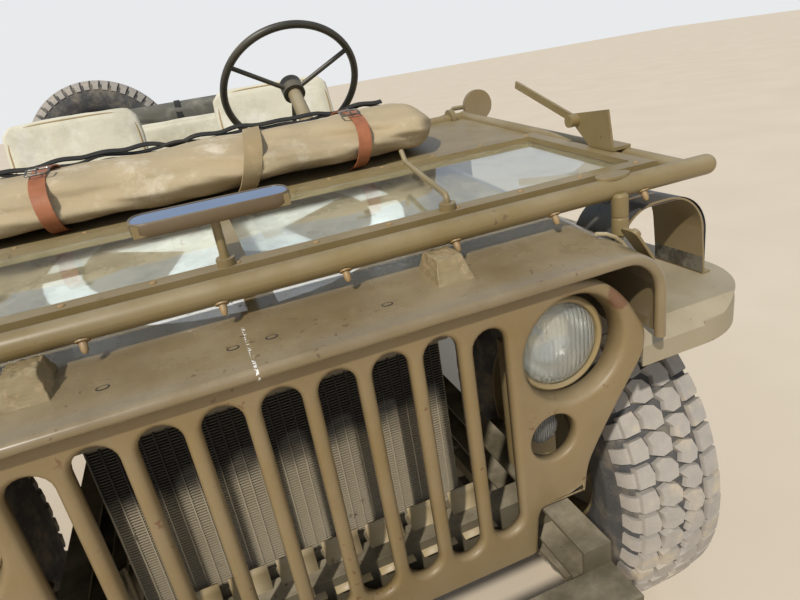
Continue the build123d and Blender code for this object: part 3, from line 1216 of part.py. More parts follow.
save("passenger_seat_frame", seat_frame(-SEAT_X))
save("passenger_seat_pads", seat_pads(-SEAT_X))
rear_half = HOUSE_INNER - 22
rear_back = REAR_SEAT_FRONT + REAR_SEAT_DEPTH
z = SEAT_TOP - PAD_THICKNESS - SEAT_TUBE / 2 - 1
rear_frame = tube_run([
    (-rear_half, REAR_SEAT_FRONT, FLOOR_Z), (-rear_half, REAR_SEAT_FRONT, z), (-rear_half, rear_back, z),
    (-rear_half, rear_back + 48, SEAT_TOP + REAR_BACK_HEIGHT),
    (rear_half, rear_back + 48, SEAT_TOP + REAR_BACK_HEIGHT),
    (rear_half, rear_back, z), (rear_half, REAR_SEAT_FRONT, z), (rear_half, REAR_SEAT_FRONT, FLOOR_Z),
], SEAT_TUBE, 45)
save("fixed_seat_frames", group(seat_frame(SEAT_X), rear_frame))
rear_pads = pad(-rear_half, rear_half, REAR_SEAT_FRONT, rear_back - 20,
                SEAT_TOP - PAD_THICKNESS, SEAT_TOP, 24)
rear_rest = pad(-rear_half + 20, rear_half - 20, rear_back - 40, rear_back + 12,
                SEAT_TOP + 8, SEAT_TOP + REAR_BACK_HEIGHT + 20, 20)
save("fixed_seat_pads", group(seat_pads(SEAT_X), rear_pads, rear_rest))
tank = pad(SEAT_X - TANK_WIDTH / 2, SEAT_X + TANK_WIDTH / 2, SEAT_FRONT + 20, SEAT_FRONT + 20 + TANK_LENGTH,
           FLOOR_Z + 1, FLOOR_Z + 1 + FUEL_TANK_HEIGHT, 30)
save("fuel_tank", tank)

# Folded top on its bows, and the stowed cover strapped on the windshield's panel
bow_z = BODY_SIDE_TOP + BOW_RISE
bow_x = BODY_HALF - 20
bow_front = BODY_REAR - BOW_FRONT
bow = tube_run([(-bow_x, bow_front, bow_z), (-bow_x, BODY_REAR - 14, bow_z), (bow_x, BODY_REAR - 14, bow_z),
                (bow_x, bow_front, bow_z)], BOW_TUBE, 60)
for side in (1, -1):
    for y in (bow_front - 10, BODY_REAR - BOW_PITCH - 20):
        bow += block(side * (bow_x - 14), side * (bow_x + 14), y, y + 40,
                     BODY_SIDE_TOP + RAIL_ROLL / 2 - 6, bow_z)
bow += rod((-bow_x, BODY_REAR - BOW_PITCH, bow_z), (bow_x, BODY_REAR - BOW_PITCH, bow_z), BOW_TUBE)
save("top_bow", bow)
top_rest = bow_z + BOW_TUBE / 2 + 0.3
fold_rear = BODY_REAR + FOLD_BACK
save("folded_top", pad(-FOLD_HALF, FOLD_HALF, fold_rear - FOLD_DEPTH, fold_rear,
                       top_rest, top_rest + FOLD_HEIGHT, FOLD_ROUND))
stowed = pad(COVER_RIGHT, COVER_LEFT, SHEET / 2 + 0.3, COVER_RISE,
             COVER_LOW, PANE_LOW - COVER_CLEAR, COVER_ROUND)
save("stowed_cover", folded(stowed))
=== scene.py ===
import math

import bmesh
import bpy
from mathutils import Matrix, Vector, noise
from mathutils.geometry import delaunay_2d_cdt


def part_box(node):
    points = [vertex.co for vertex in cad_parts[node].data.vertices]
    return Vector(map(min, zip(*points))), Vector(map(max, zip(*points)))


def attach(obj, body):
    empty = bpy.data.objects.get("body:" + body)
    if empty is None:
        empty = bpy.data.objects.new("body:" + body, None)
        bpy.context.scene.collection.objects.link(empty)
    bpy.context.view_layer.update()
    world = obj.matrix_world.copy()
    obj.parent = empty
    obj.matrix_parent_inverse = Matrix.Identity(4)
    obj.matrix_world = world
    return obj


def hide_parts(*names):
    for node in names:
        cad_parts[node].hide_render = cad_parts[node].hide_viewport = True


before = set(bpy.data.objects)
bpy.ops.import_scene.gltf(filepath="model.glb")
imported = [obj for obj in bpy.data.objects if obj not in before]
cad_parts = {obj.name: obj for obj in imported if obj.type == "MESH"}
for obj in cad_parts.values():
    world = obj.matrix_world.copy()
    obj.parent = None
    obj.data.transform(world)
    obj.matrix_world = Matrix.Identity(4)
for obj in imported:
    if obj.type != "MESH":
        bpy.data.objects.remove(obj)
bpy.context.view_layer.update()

# Camera: a phone held 1.2 m up and half a metre in front of the grille. It looks back along the car and to
# its left, tilted down and rolled a little. Its place and focal length were fitted to an 800 by 600 picture.
CAMERA_PLACE = (-0.0319, -2.1149, 1.2076)
CAMERA_TURN = 17.42
CAMERA_TILT = 22.14
CAMERA_ROLL = 9.41
FOCAL_PIXELS = 592.5
PHOTO_WIDTH = 800

camera = bpy.data.objects.new("camera", bpy.data.cameras.new("camera"))
bpy.context.collection.objects.link(camera)
camera.data.sensor_width = 36
camera.data.lens = FOCAL_PIXELS / PHOTO_WIDTH * camera.data.sensor_width
camera.data.clip_start = 0.02
camera_turn = Matrix.Rotation(math.radians(-CAMERA_TURN), 4, "Z")
camera_tilt = Matrix.Rotation(math.radians(90 - CAMERA_TILT), 4, "X")
camera_roll = Matrix.Rotation(math.radians(-CAMERA_ROLL), 4, "Z")
camera.matrix_world = Matrix.Translation(CAMERA_PLACE) @ camera_turn @ camera_tilt @ camera_roll
bpy.context.scene.camera = camera


# Floor and light: a pale sandy floor that runs to the horizon, a high sun in front of the car and to its
# right, as in the photograph, a faint lamp in front, and an even pale sky.
def rgb(red, green, blue):
    """A colour written as it shows on a screen, from 0 to 255, as the shader's own values."""
    return tuple(((value / 255 + 0.055) / 1.055) ** 2.4 for value in (red, green, blue)) + (1.0,)


def feed(tree, node, sockets):
    """Gives a node's inputs their values, or the outputs that feed them."""
    for key, value in sockets.items():
        if isinstance(value, bpy.types.NodeSocket):
            tree.links.new(value, node.inputs[key])
        else:
            node.inputs[key].default_value = value


def add(tree, kind, sockets=None, **settings):
    """Adds a node with its settings and its inputs."""
    made = tree.nodes.new(kind)
    for key, value in settings.items():
        setattr(made, key, value)
    feed(tree, made, sockets or {})
    return made


def new_material(name):
    """A material with its shader's tree, its shader, and each point's place on the object."""
    material = bpy.data.materials.new(name)
    material.use_nodes = True
    tree = material.node_tree
    spot = add(tree, "ShaderNodeTexCoord").outputs["Object"]
    return material, tree, tree.nodes["Principled BSDF"], spot


def noise_node(tree, vector, scale, detail=4.0, roughness=0.55):
    """Noise from 0 to 1."""
    return add(tree, "ShaderNodeTexNoise", {"Vector": vector, "Scale": scale, "Detail": detail,
                                            "Roughness": roughness}).outputs["Fac"]


def mix_colour(tree, factor, first, second):
    """The first colour where the factor is 0, and the second where it is 1."""
    return add(tree, "ShaderNodeMix", {0: factor, 6: first, 7: second}, data_type="RGBA").outputs[2]


def light(name, kind, energy, colour):
    """A light of the scene."""
    made = bpy.data.objects.new(name, bpy.data.lights.new(name, kind))
    bpy.context.collection.objects.link(made)
    made.data.energy = energy
    made.data.color = colour
    return made


FLOOR_HALF = 40.0
floor_material, tree, shader, spot = new_material("sandy_floor")
tone = mix_colour(tree, noise_node(tree, spot, 1.4, 5, 0.5), rgb(204, 188, 164), rgb(220, 206, 184))
feed(tree, shader, {"Base Color": tone, "Roughness": 0.95})
floor_mesh = bpy.data.meshes.new("floor_sheet")
floor_mesh.from_pydata([(-FLOOR_HALF, -FLOOR_HALF, 0), (FLOOR_HALF, -FLOOR_HALF, 0),
                        (FLOOR_HALF, FLOOR_HALF, 0), (-FLOOR_HALF, FLOOR_HALF, 0)], [], [(0, 1, 2, 3)])
floor_sheet = bpy.data.objects.new("floor_sheet", floor_mesh)
bpy.context.collection.objects.link(floor_sheet)
floor_mesh.materials.append(floor_material)

SUN_FROM = (-0.45, -0.55, 0.70)
SUN_ENERGY, SUN_ANGLE = 3.0, 2
FILL_PLACE, FILL_TARGET = Vector((-1.2, -4.2, 1.9)), Vector((0.2, -1.4, 0.7))
FILL_ENERGY, FILL_SIZE = 6, 2.6
sun = light("sun", "SUN", SUN_ENERGY, (1.0, 0.96, 0.90))
sun.data.angle = math.radians(SUN_ANGLE)
sun.rotation_euler = Vector(SUN_FROM).to_track_quat("Z", "Y").to_euler()
front_fill = light("front_fill", "AREA", FILL_ENERGY, (1.0, 0.95, 0.88))
front_fill.data.size = FILL_SIZE
front_fill.location = FILL_PLACE
front_fill.rotation_euler = (FILL_TARGET - FILL_PLACE).to_track_quat("-Z", "Y").to_euler()

world = bpy.data.worlds.new("sky")
bpy.context.scene.world = world
world.use_nodes = True
tree = world.node_tree
sky = tree.nodes["Background"]
feed(tree, sky, {"Color": rgb(214, 224, 240), "Strength": 0.62})
seen = add(tree, "ShaderNodeBackground", {"Color": rgb(232, 234, 236), "Strength": 1.0})
ray = add(tree, "ShaderNodeLightPath").outputs["Is Camera Ray"]
mixed = add(tree, "ShaderNodeMixShader", {0: ray, 1: sky.outputs[0], 2: seen.outputs[0]})
feed(tree, tree.nodes["World Output"], {"Surface": mixed.outputs[0]})
bpy.context.scene.view_settings.view_transform = "Standard"


# Paint: satin olive khaki, brushed and sprayed over many times. It has faded unevenly, carries dust on what
# faces up, and has small chips down to darker or rusty metal.
def math_node(tree, operation, *values, clamp=False):
    """The output of a Math node."""
    node = add(tree, "ShaderNodeMath", dict(enumerate(values)), operation=operation, use_clamp=clamp)
    return node.outputs[0]


def times(tree, first, second, clamp=False):
    """The product of two values."""
    return math_node(tree, "MULTIPLY", first, second, clamp=clamp)


def scaled(tree, value, factor, plus):
    """A value times a factor, plus another."""
    return math_node(tree, "MULTIPLY_ADD", value, factor, plus)


def step(tree, value, low, high):
    """Goes smoothly from 0 at low to 1 at high."""
    return add(tree, "ShaderNodeMapRange", {"Value": value, "From Min": low, "From Max": high},
               interpolation_type="SMOOTHSTEP").outputs[0]


def axes(tree, vector):
    """The X, Y and Z of a vector."""
    return add(tree, "ShaderNodeSeparateXYZ", {0: vector}).outputs


COLOUR, FLOAT = "NodeSocketColor", "NodeSocketFloat"
DUST, RUST = rgb(176, 164, 138), rgb(92, 70, 50)
tree = worn_paint = bpy.data.node_groups.new("worn_paint", "ShaderNodeTree")
for label, kind in (("Colour", COLOUR), ("Dust Colour", COLOUR), ("Chip Colour", COLOUR), ("Dust", FLOAT),
                    ("Chips", FLOAT), ("Roughness", FLOAT)):
    tree.interface.new_socket(label, in_out="INPUT", socket_type=kind)
for label, kind in (("Colour", COLOUR), ("Roughness", FLOAT), ("Height", FLOAT)):
    tree.interface.new_socket(label, in_out="OUTPUT", socket_type=kind)
given = add(tree, "NodeGroupInput").outputs
where = add(tree, "ShaderNodeTexCoord").outputs
spot = where["Object"]
middle = noise_node(tree, spot, 17, 5, 0.6)
tone = scaled(tree, noise_node(tree, spot, 2.6, 5, 0.62), 0.5, 0.66)
tone = scaled(tree, middle, 0.2, tone)
tone = scaled(tree, noise_node(tree, spot, 160, 3, 0.6), 0.07, tone)
aged = add(tree, "ShaderNodeHueSaturation", {"Color": given["Colour"], "Value": tone,
                                             "Saturation": scaled(tree, middle, -0.3, 1.12)})
film = scaled(tree, step(tree, axes(tree, where["Normal"])["Z"], 0.1, 0.95), 0.75, 0.25)
film = times(tree, film, step(tree, noise_node(tree, spot, 5.5, 6, 0.66), 0.32, 0.72))
film = times(tree, film, given["Dust"], clamp=True)
dusty = mix_colour(tree, film, aged.outputs["Color"], given["Dust Colour"])
flakes = step(tree, noise_node(tree, spot, 95, 2, 0.5), 0.66, 0.69)
clusters = step(tree, noise_node(tree, spot, 8, 3, 0.6), 0.52, 0.64)
chips = times(tree, times(tree, flakes, clusters), given["Chips"], clamp=True)
matt = scaled(tree, middle, 0.12, scaled(tree, film, 0.35, given["Roughness"]))
final = mix_colour(tree, chips, dusty, given["Chip Colour"])
height = scaled(tree, chips, -0.8, times(tree, middle, 0.5))
add(tree, "NodeGroupOutput", {"Colour": final, "Roughness": matt, "Height": height})


def raised(tree, shader, height, distance, strength):
    """Bumps a surface by a height."""
    relief = add(tree, "ShaderNodeBump", {"Height": height, "Distance": distance, "Strength": strength})
    feed(tree, shader, {"Normal": relief.outputs[0]})


def worn(tree, shader, colour, dust=0.45, chips=0.5, roughness=0.36, chip=RUST, dust_colour=DUST,
         relief=None):
    """Paints a surface and wears it. Relief is its height, distance and strength, if not those of wear."""
    given = {"Colour": colour, "Dust": dust, "Chips": chips, "Roughness": roughness, "Chip Colour": chip,
             "Dust Colour": dust_colour}
    wear = add(tree, "ShaderNodeGroup", given, node_tree=worn_paint)
    feed(tree, shader, {"Base Color": wear.outputs["Colour"], "Roughness": wear.outputs["Roughness"]})
    raised(tree, shader, *(relief or (wear.outputs["Height"], 0.0012, 0.25)))


def painted(name, colour, **wear):
    """A painted material of one colour with its wear."""
    material, tree, shader = new_material(name)[:3]
    worn(tree, shader, colour, **wear)
    return material


def dress(material, *nodes):
    """Gives CAD nodes a material."""
    for name in nodes:
        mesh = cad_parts[name].data
        mesh.materials.clear()
        mesh.materials.append(material)


dress(painted("olive_khaki_paint", rgb(128, 110, 76)), "body_fittings")
dress(painted("olive_khaki_body_paint", rgb(126, 110, 74), dust=0.6), "cowl", "floor", "body_side_left",
      "body_side_right", "rear_panel", "fuel_tank", "controls")
dress(painted("chassis_paint", rgb(84, 76, 56), dust=0.8, chips=0.8, roughness=0.6), "frame", "bumpers",
      "axles", "leaf_springs", "gearbox", "knuckle_left", "knuckle_right", "tie_rod")


# Grille: one pressed steel plate with nine upright slots, whose edges roll inwards so that the bars between
# them look round, and a deep rolled opening for each lamp. A flange runs round it.
GRILLE_SLOTS = 9
SLOT_PITCH = 0.067
SLOT_HALF = 0.024
SLOT_TOP = 0.885
SLOT_LENGTH = 0.355
SLOT_DROP = 0.010
SLOT_ROLL, SLOT_DEPTH = 0.008, 0.016
SLOT_END_STEPS = 10
LAMP_X, LAMP_Z, LAMP_OPENING = 0.394, 0.806, 0.079
LAMP_ROLL, LAMP_DEPTH, LAMP_TAPER = 0.009, 0.030, 0.004
MARKER_X, MARKER_Z, MARKER_OPENING = 0.352, 0.678, 0.037
MARKER_ROLL, MARKER_DEPTH, MARKER_TAPER = 0.005, 0.016, 0.001
GRILLE_SHEET = 0.003
ROLL_STEPS = 4
grille_low, grille_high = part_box("grille")
GRILLE_Y = grille_low.y


def rounded(points, radii, steps=6):
    """A closed outline with its corners turned into arcs. Points are pairs and radii belong to them."""
    ring = []
    for i, (here, radius) in enumerate(zip(points, radii)):
        here = Vector(here)
        before = Vector(points[i - 1]) - here
        after = Vector(points[(i + 1) % len(points)]) - here
        reach = min(radius, 0.45 * before.length, 0.45 * after.length)
        start, end = here + before.normalized() * reach, here + after.normalized() * reach
        for k in range(steps + 1):
            t = k / steps
            ring.append(tuple((1 - t) ** 2 * start + 2 * t * (1 - t) * here + t * t * end))
    return ring


def circle(x, z, radius, count=56):
    """A ring of points."""
    turns = [2 * math.pi * i / count for i in range(count)]
    return [(x + radius * math.cos(turn), z + radius * math.sin(turn)) for turn in turns]


def slot_ring(x, top, length, half):
    """The outline of an upright slot with round ends."""
    ring = []
    for centre, start in ((top - SLOT_HALF, 0), (top - length + SLOT_HALF, math.pi)):
        for i in range(SLOT_END_STEPS + 1):
            turn = start + math.pi * i / SLOT_END_STEPS
            ring.append((x + half * math.cos(turn), centre + half * math.sin(turn)))
    return ring


def inset(ring, distance):
    """The outline moved inwards. It runs either way round."""
    area = sum(a[0] * b[1] - b[0] * a[1] for a, b in zip(ring, ring[1:] + ring[:1]))
    side = 1 if area > 0 else -1
    moved = []
    for i, here in enumerate(ring):
        along = (Vector(ring[(i + 1) % len(ring)]) - Vector(ring[i - 1])).normalized()
        moved.append((here[0] - side * along.y * distance, here[1] + side * along.x * distance))
    return moved


def inside(point, ring):
    """Whether a point lies inside a ring."""
    hit = False
    for a, b in zip(ring, ring[1:] + ring[:1]):
        if (a[1] > point[1]) != (b[1] > point[1]):
            if point[0] < a[0] + (point[1] - a[1]) / (b[1] - a[1]) * (b[0] - a[0]):
                hit = not hit
    return hit


def grille_ring(bm, ring, y):
    """Vertices of an outline in the grille's plane."""
    return [bm.verts.new((x, y, z)) for x, z in ring]


def lofted(bm, rings, closed=True):
    """Faces between rings of vertices."""
    for first, second in zip(rings, rings[1:]):
        count = len(first)
        for i in range(count if closed else count - 1):
            j = (i + 1) % count
            bm.faces.new((first[i], first[j], second[j], second[i]))


def new_piece(bm, name, material):
    """Turns a bmesh into an object."""
    bmesh.ops.recalc_face_normals(bm, faces=bm.faces)
    mesh = bpy.data.meshes.new(name)
    bm.to_mesh(mesh)
    bm.free()
    mesh.materials.append(material)
    piece = bpy.data.objects.new(name, mesh)
    bpy.context.collection.objects.link(piece)
    return piece


def mounted(piece, body, sharp):
    """Shades a piece smooth up to its sharp edges, and hangs it on its body."""
    piece.data.shade_smooth()
    piece.data.set_sharp_from_angle(angle=math.radians(sharp))
    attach(piece, body)
    return piece


def finish_piece(bm, name, material, body, sharp=35, bevel=0):
    """Turns a bmesh into a piece that rides on a body."""
    piece = new_piece(bm, name, material)
    if bevel:
        rounding = piece.modifiers.new("rounding", "BEVEL")
        rounding.width = bevel
        rounding.segments = 2
        rounding.limit_method = "ANGLE"
    return mounted(piece, body, sharp)


def thicken(piece, thickness, offset):
    """Gives a sheet its wall."""
    wall = piece.modifiers.new("sheet", "SOLIDIFY")
    wall.thickness = thickness
    wall.offset = offset


half_outline = [(0.370, 0.914), (0.440, 0.896), (0.478, 0.862), (0.514, 0.802), (0.510, 0.764),
                (0.479, 0.720), (0.437, 0.658), (0.408, 0.608), (0.402, 0.561), (0.3255, 0.561),
                (0.3195, 0.550), (0.3115, 0.480)]
half_radii = [0.05, 0.04, 0.04, 0.03, 0.02, 0.03, 0.05, 0.03, 0.006, 0.004, 0.006, 0.012]
grille_outline = rounded(half_outline + [(-x, z) for x, z in reversed(half_outline)],
                         half_radii + half_radii[::-1])
grille_edges = [(lambda grow: inset(grille_outline, grow), SLOT_ROLL, grille_high.y - GRILLE_Y, 0)]
for i in range(GRILLE_SLOTS):
    drop = SLOT_DROP if i in (0, GRILLE_SLOTS - 1) else 0
    slot_place = ((i - (GRILLE_SLOTS - 1) / 2) * SLOT_PITCH, SLOT_TOP - drop, SLOT_LENGTH - 2 * drop)
    grille_edges.append((lambda grow, place=slot_place: slot_ring(*place, SLOT_HALF + grow),
                         SLOT_ROLL, SLOT_DEPTH, 0))
for side in (1, -1):
    for x, z, radius, count, rest in (
            (LAMP_X, LAMP_Z, LAMP_OPENING, 56, (LAMP_ROLL, LAMP_DEPTH, LAMP_TAPER)),
            (MARKER_X, MARKER_Z, MARKER_OPENING, 40, (MARKER_ROLL, MARKER_DEPTH, MARKER_TAPER))):
        grille_edges.append((lambda grow, x=side * x, z=z, radius=radius, count=count:
                             circle(x, z, radius + grow, count), *rest))

bm = bmesh.new()
flat_rings = [ring(roll) for ring, roll, depth, taper in grille_edges]
corner_rings = [grille_ring(bm, ring, GRILLE_Y) for ring in flat_rings]
flat_points = [point for ring in flat_rings for point in ring]
flat_vertices = [vertex for ring in corner_rings for vertex in ring]
flat_edges = []
for ring in flat_rings:
    start = len(flat_edges)
    flat_edges += [(start + i, start + (i + 1) % len(ring)) for i in range(len(ring))]
solved = delaunay_2d_cdt([Vector(point) for point in flat_points], flat_edges, [], 0, 1e-7)
filled = [flat_vertices[origins[0]] if origins else bm.verts.new((point.x, GRILLE_Y, point.y))
          for point, origins in zip(solved[0], solved[3])]
for face in solved[2]:
    centre = sum((solved[0][i] for i in face), Vector((0, 0))) / len(face)
    if inside(centre, flat_rings[0]) and not any(inside(centre, ring) for ring in flat_rings[1:]):
        bm.faces.new([filled[i] for i in face])
for (ring, roll, depth, taper), first in zip(grille_edges, corner_rings):
    rings = [first]
    for k in range(1, ROLL_STEPS + 1):
        turn = math.pi / 2 * k / ROLL_STEPS
        level = GRILLE_Y + roll * (1 - math.cos(turn))
        rings.append(grille_ring(bm, ring(roll * (1 - math.sin(turn))), level))
    rings.append(grille_ring(bm, ring(-taper), GRILLE_Y + depth))
    lofted(bm, rings)

PRIMER_X, PRIMER_Z, PRIMER_RADIUS = 0.470, 0.868, 0.026
grille_paint, tree, shader, spot = new_material("grille_paint")
away = add(tree, "ShaderNodeVectorMath", {0: spot, 1: (PRIMER_X, GRILLE_Y, PRIMER_Z)}, operation="DISTANCE")
away = scaled(tree, noise_node(tree, spot, 60, 5, 0.7), 0.03, away.outputs["Value"])
primer = mix_colour(tree, step(tree, away, PRIMER_RADIUS + 0.014, PRIMER_RADIUS + 0.009), rgb(128, 108, 72),
                    rgb(112, 76, 50))
worn(tree, shader, primer, dust=0.35, chips=0.9, chip=rgb(110, 74, 50))
grille = finish_piece(bm, "grille_plate", grille_paint, "root", sharp=60)
if grille.data.polygons[0].normal.y > 0:
    grille.data.flip_normals()
thicken(grille, GRILLE_SHEET, -1)
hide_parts("grille")


# Radiator: a core of thin level fins between flat upright tubes, with a tank above and below, and the
# pressed air guides at its foot. The dust on it is pale. The core's upper part is painted dark as painted
# shade, where the grille's top would shade it. It stands on the frame behind the grille.
def box(bm, low, high):
    """A box between two corners."""
    made = bmesh.ops.create_cube(bm, size=1)["verts"]
    size = [b - a for a, b in zip(low, high)]
    middle = [(a + b) / 2 for a, b in zip(low, high)]
    bmesh.ops.transform(bm, matrix=Matrix.Translation(middle) @ Matrix.Diagonal((*size, 1)), verts=made)
    return made


COPIES = tree = bpy.data.node_groups.new("copies", "GeometryNodeTree")
for label, kind in (("Geometry", "Geometry"), ("Count", "Int"), ("Shift", "Vector"), ("Turn", "Vector"),
                    ("Place", "Vector"), ("Material", "Material")):
    tree.interface.new_socket(label, in_out="INPUT", socket_type="NodeSocket" + kind)
tree.interface.new_socket("Geometry", in_out="OUTPUT", socket_type="NodeSocketGeometry")
given = add(tree, "NodeGroupInput").outputs
line = add(tree, "GeometryNodeMeshLine", {"Count": given["Count"], "Offset": given["Shift"]})
order = add(tree, "GeometryNodeInputIndex").outputs[0]
turn = add(tree, "ShaderNodeVectorMath", {0: given["Turn"], "Scale": order}, operation="SCALE")
placed = add(tree, "GeometryNodeInstanceOnPoints", {"Points": line.outputs[0], "Instance": given["Geometry"],
                                                    "Rotation": turn.outputs[0]})
moved = add(tree, "GeometryNodeTransform", {"Geometry": placed.outputs[0], "Translation": given["Place"]})
real = add(tree, "GeometryNodeRealizeInstances", {"Geometry": moved.outputs[0]})
named = add(tree, "GeometryNodeSetMaterial", {"Geometry": real.outputs[0], "Material": given["Material"]})
add(tree, "NodeGroupOutput", {0: named.outputs[0]})


def copied(bm, name, material, body, count, shift=(0, 0, 0), turn=(0, 0, 0), place=(0, 0, 0)):
    """A piece made of many copies of one shape: each is shifted and turned by one more step."""
    piece = new_piece(bm, name, material)
    modifier = piece.modifiers.new("copies", "NODES")
    modifier.node_group = COPIES
    sockets = {item.name: item.identifier for item in COPIES.interface.items_tree if item.in_out == "INPUT"}
    for label, value in (("Count", count), ("Shift", shift), ("Turn", turn), ("Place", place),
                         ("Material", material)):
        modifier[sockets[label]] = value
    made = bpy.data.meshes.new_from_object(piece.evaluated_get(bpy.context.evaluated_depsgraph_get()))
    piece.modifiers.clear()
    piece.data = made
    made.name = name
    return mounted(piece, body, 35)


CORE_HALF, CORE_SETBACK, CORE_DEPTH = 0.233, 0.004, 0.006
CORE_TUBES, TUBE_WIDTH = 30, 0.0016
FIN_PITCH, FIN_THICK = 0.0042, 0.0009
TANK_HEIGHT = 0.056
radiator_low, radiator_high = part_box("radiator")
core_low, core_high = radiator_low.z + TANK_HEIGHT, radiator_high.z - TANK_HEIGHT
core_front = radiator_low.y + CORE_SETBACK
core_back = core_front + CORE_DEPTH
fins_material, tree, shader, spot = new_material("radiator_dust_and_painted_shade")
# painted shade: above a ragged level the core and its dust are painted near black, for the shade under the
# grille's top
painted_shade = step(tree, scaled(tree, noise_node(tree, spot, 16, 4), 0.07, axes(tree, spot)["Z"]), 0.745, 0.795)
worn(tree, shader, mix_colour(tree, painted_shade, rgb(158, 146, 122), rgb(44, 40, 35)), dust=0.6, chips=0.7,
     roughness=0.7, chip=rgb(84, 74, 62),
     dust_colour=mix_colour(tree, painted_shade, rgb(172, 160, 136), rgb(50, 46, 40)))
dress(painted("radiator_tank", rgb(120, 108, 84), dust=0.8, chips=0.6, roughness=0.5), "radiator")
bm = bmesh.new()
box(bm, (-CORE_HALF, core_front, core_low), (CORE_HALF, core_back, core_low + FIN_THICK))
copied(bm, "radiator_fins", fins_material, "root", int((core_high - core_low) / FIN_PITCH),
       shift=(0, 0, FIN_PITCH))
bm = bmesh.new()
box(bm, (-CORE_HALF, core_front - 0.0001, core_low), (-CORE_HALF + TUBE_WIDTH, core_back, core_high))
copied(bm, "radiator_tubes", fins_material, "root", CORE_TUBES,
       shift=(2 * CORE_HALF / CORE_TUBES, 0, 0))

GUIDE_TOP, GUIDE_FOOT, GUIDE_HALF = 0.585, 0.535, 0.027
GUIDE_FRONT, GUIDE_REACH, GUIDE_SHEET = 0.030, 0.052, 0.0015
turns = [math.pi / 2 * k / 6 for k in range(7)]
guide = [(GRILLE_Y + GUIDE_FRONT + GUIDE_REACH * math.sin(turn),
          GUIDE_FOOT + (GUIDE_TOP - GUIDE_FOOT) * (1 - math.cos(turn))) for turn in turns]
bm = bmesh.new()
lofted(bm, [[bm.verts.new((x, y, z)) for y, z in guide] for x in (-GUIDE_HALF, GUIDE_HALF)], closed=False)
guide_tan = painted("guide_tan", rgb(158, 138, 98), dust=0.7)
guides = copied(bm, "air_guides", guide_tan, "root", GRILLE_SLOTS - 1, shift=(SLOT_PITCH, 0, 0),
                place=(-(GRILLE_SLOTS - 2) / 2 * SLOT_PITCH, 0, 0))
thicken(guides, GUIDE_SHEET, 0)


# Lamps: each head lamp is a pressed bowl with a chromed reflector, a fluted domed lens and a khaki bezel,
# set deep in its opening. A small marker lamp sits below it, and two plain tail lamps are bolted on behind.
HEAD_X, HEAD_FRONT, HEAD_Z = 0.390, -1.476, 0.802
POST_X, POST_HALF, POST_FOOT, POST_TOP = 0.376, 0.036, 0.560, 0.790
POST_FRONT, POST_BACK = HEAD_FRONT + 0.060, HEAD_FRONT + 0.092
MARKER_FRONT = -1.486
TAIL_X, TAIL_Z = 0.708, 0.612
HEAD_BOWL = [(0.018, -0.062), (0.045, -0.056), (0.064, -0.038), (0.072, -0.012), (0.073, -0.002),
             (0.0715, 0.002), (0.0675, 0.004), (0.063, 0.002), (0.0615, -0.004)]
REFLECTOR = [(0.0613, -0.005), (0.056, -0.028), (0.040, -0.045), (0.015, -0.052)]
BULB = [(0.008, -0.052), (0.009, -0.035), (0.006, -0.026)]
HEAD_LENS = [(0.0615, -0.002), (0.0575, 0.003), (0.048, 0.0062), (0.030, 0.0086), (0.012, 0.0094),
             (0.002, 0.0095), (0.002, 0.0072), (0.012, 0.0071), (0.030, 0.0062), (0.048, 0.0038),
             (0.0565, 0.0004), (0.0612, -0.005)]
MARKER_CASE = [(0.008, -0.085), (0.012, -0.05), (0.022, -0.044), (0.0268, -0.026), (0.027, -0.013),
               (0.026, -0.011), (0.0243, -0.0115)]
MARKER_LENS = [(0.0245, -0.012), (0.0238, -0.005), (0.020, -0.0015), (0.012, -0.0004), (0.004, -0.0001)]
MARKER_BACK = [(0.0242, -0.0125), (0.004, -0.02)]
TAIL_CASE = [(0.037, 0.0), (0.037, 0.036), (0.034, 0.041), (0.029, 0.041), (0.028, 0.037)]
TAIL_LENS = [(0.028, 0.038), (0.026, 0.0445), (0.012, 0.046)]


def lathe(bm, profile, place, count=48, lids=""):
    """Turns a profile of (radius, along) pairs about a place's Z axis. Lids is start, end, both, or ring
    for a profile that closes on itself."""
    rings = [[bm.verts.new(place @ Vector((x, y, along))) for x, y in circle(0, 0, radius, count)]
             for radius, along in profile]
    lofted(bm, rings + rings[:1] if lids == "ring" else rings)
    if lids in ("start", "both"):
        bm.faces.new(rings[0])
    if lids in ("end", "both"):
        bm.faces.new(rings[-1])


def turned(name, material, body, slot, sharp, *parts):
    """A piece turned from one or more profiles. Each part is what lathe takes."""
    bm = bmesh.new()
    for part in parts:
        lathe(bm, *part)
    return finish_piece(bm, name, material, body, sharp=sharp)


def facing_to(spot, direction):
    """A place whose Z axis points in a direction."""
    return Matrix.Translation(spot) @ Vector(direction).to_track_quat("Z", "Y").to_matrix().to_4x4()


def lens_glass(name, colour, pitch, roughness):
    """Pressed glass with upright flutes."""
    material, tree, shader, spot = new_material(name)
    flutes = math_node(tree, "SINE", times(tree, axes(tree, spot)["X"], math.pi / pitch))
    raised(tree, shader, math_node(tree, "ABSOLUTE", flutes), 0.0015, 0.8)
    tint = mix_colour(tree, noise_node(tree, spot, 30, 3), colour, rgb(255, 255, 250))
    feed(tree, shader, {"Base Color": tint, "Roughness": roughness, "Transmission Weight": 0.85,
                        "IOR": 1.45})
    return material


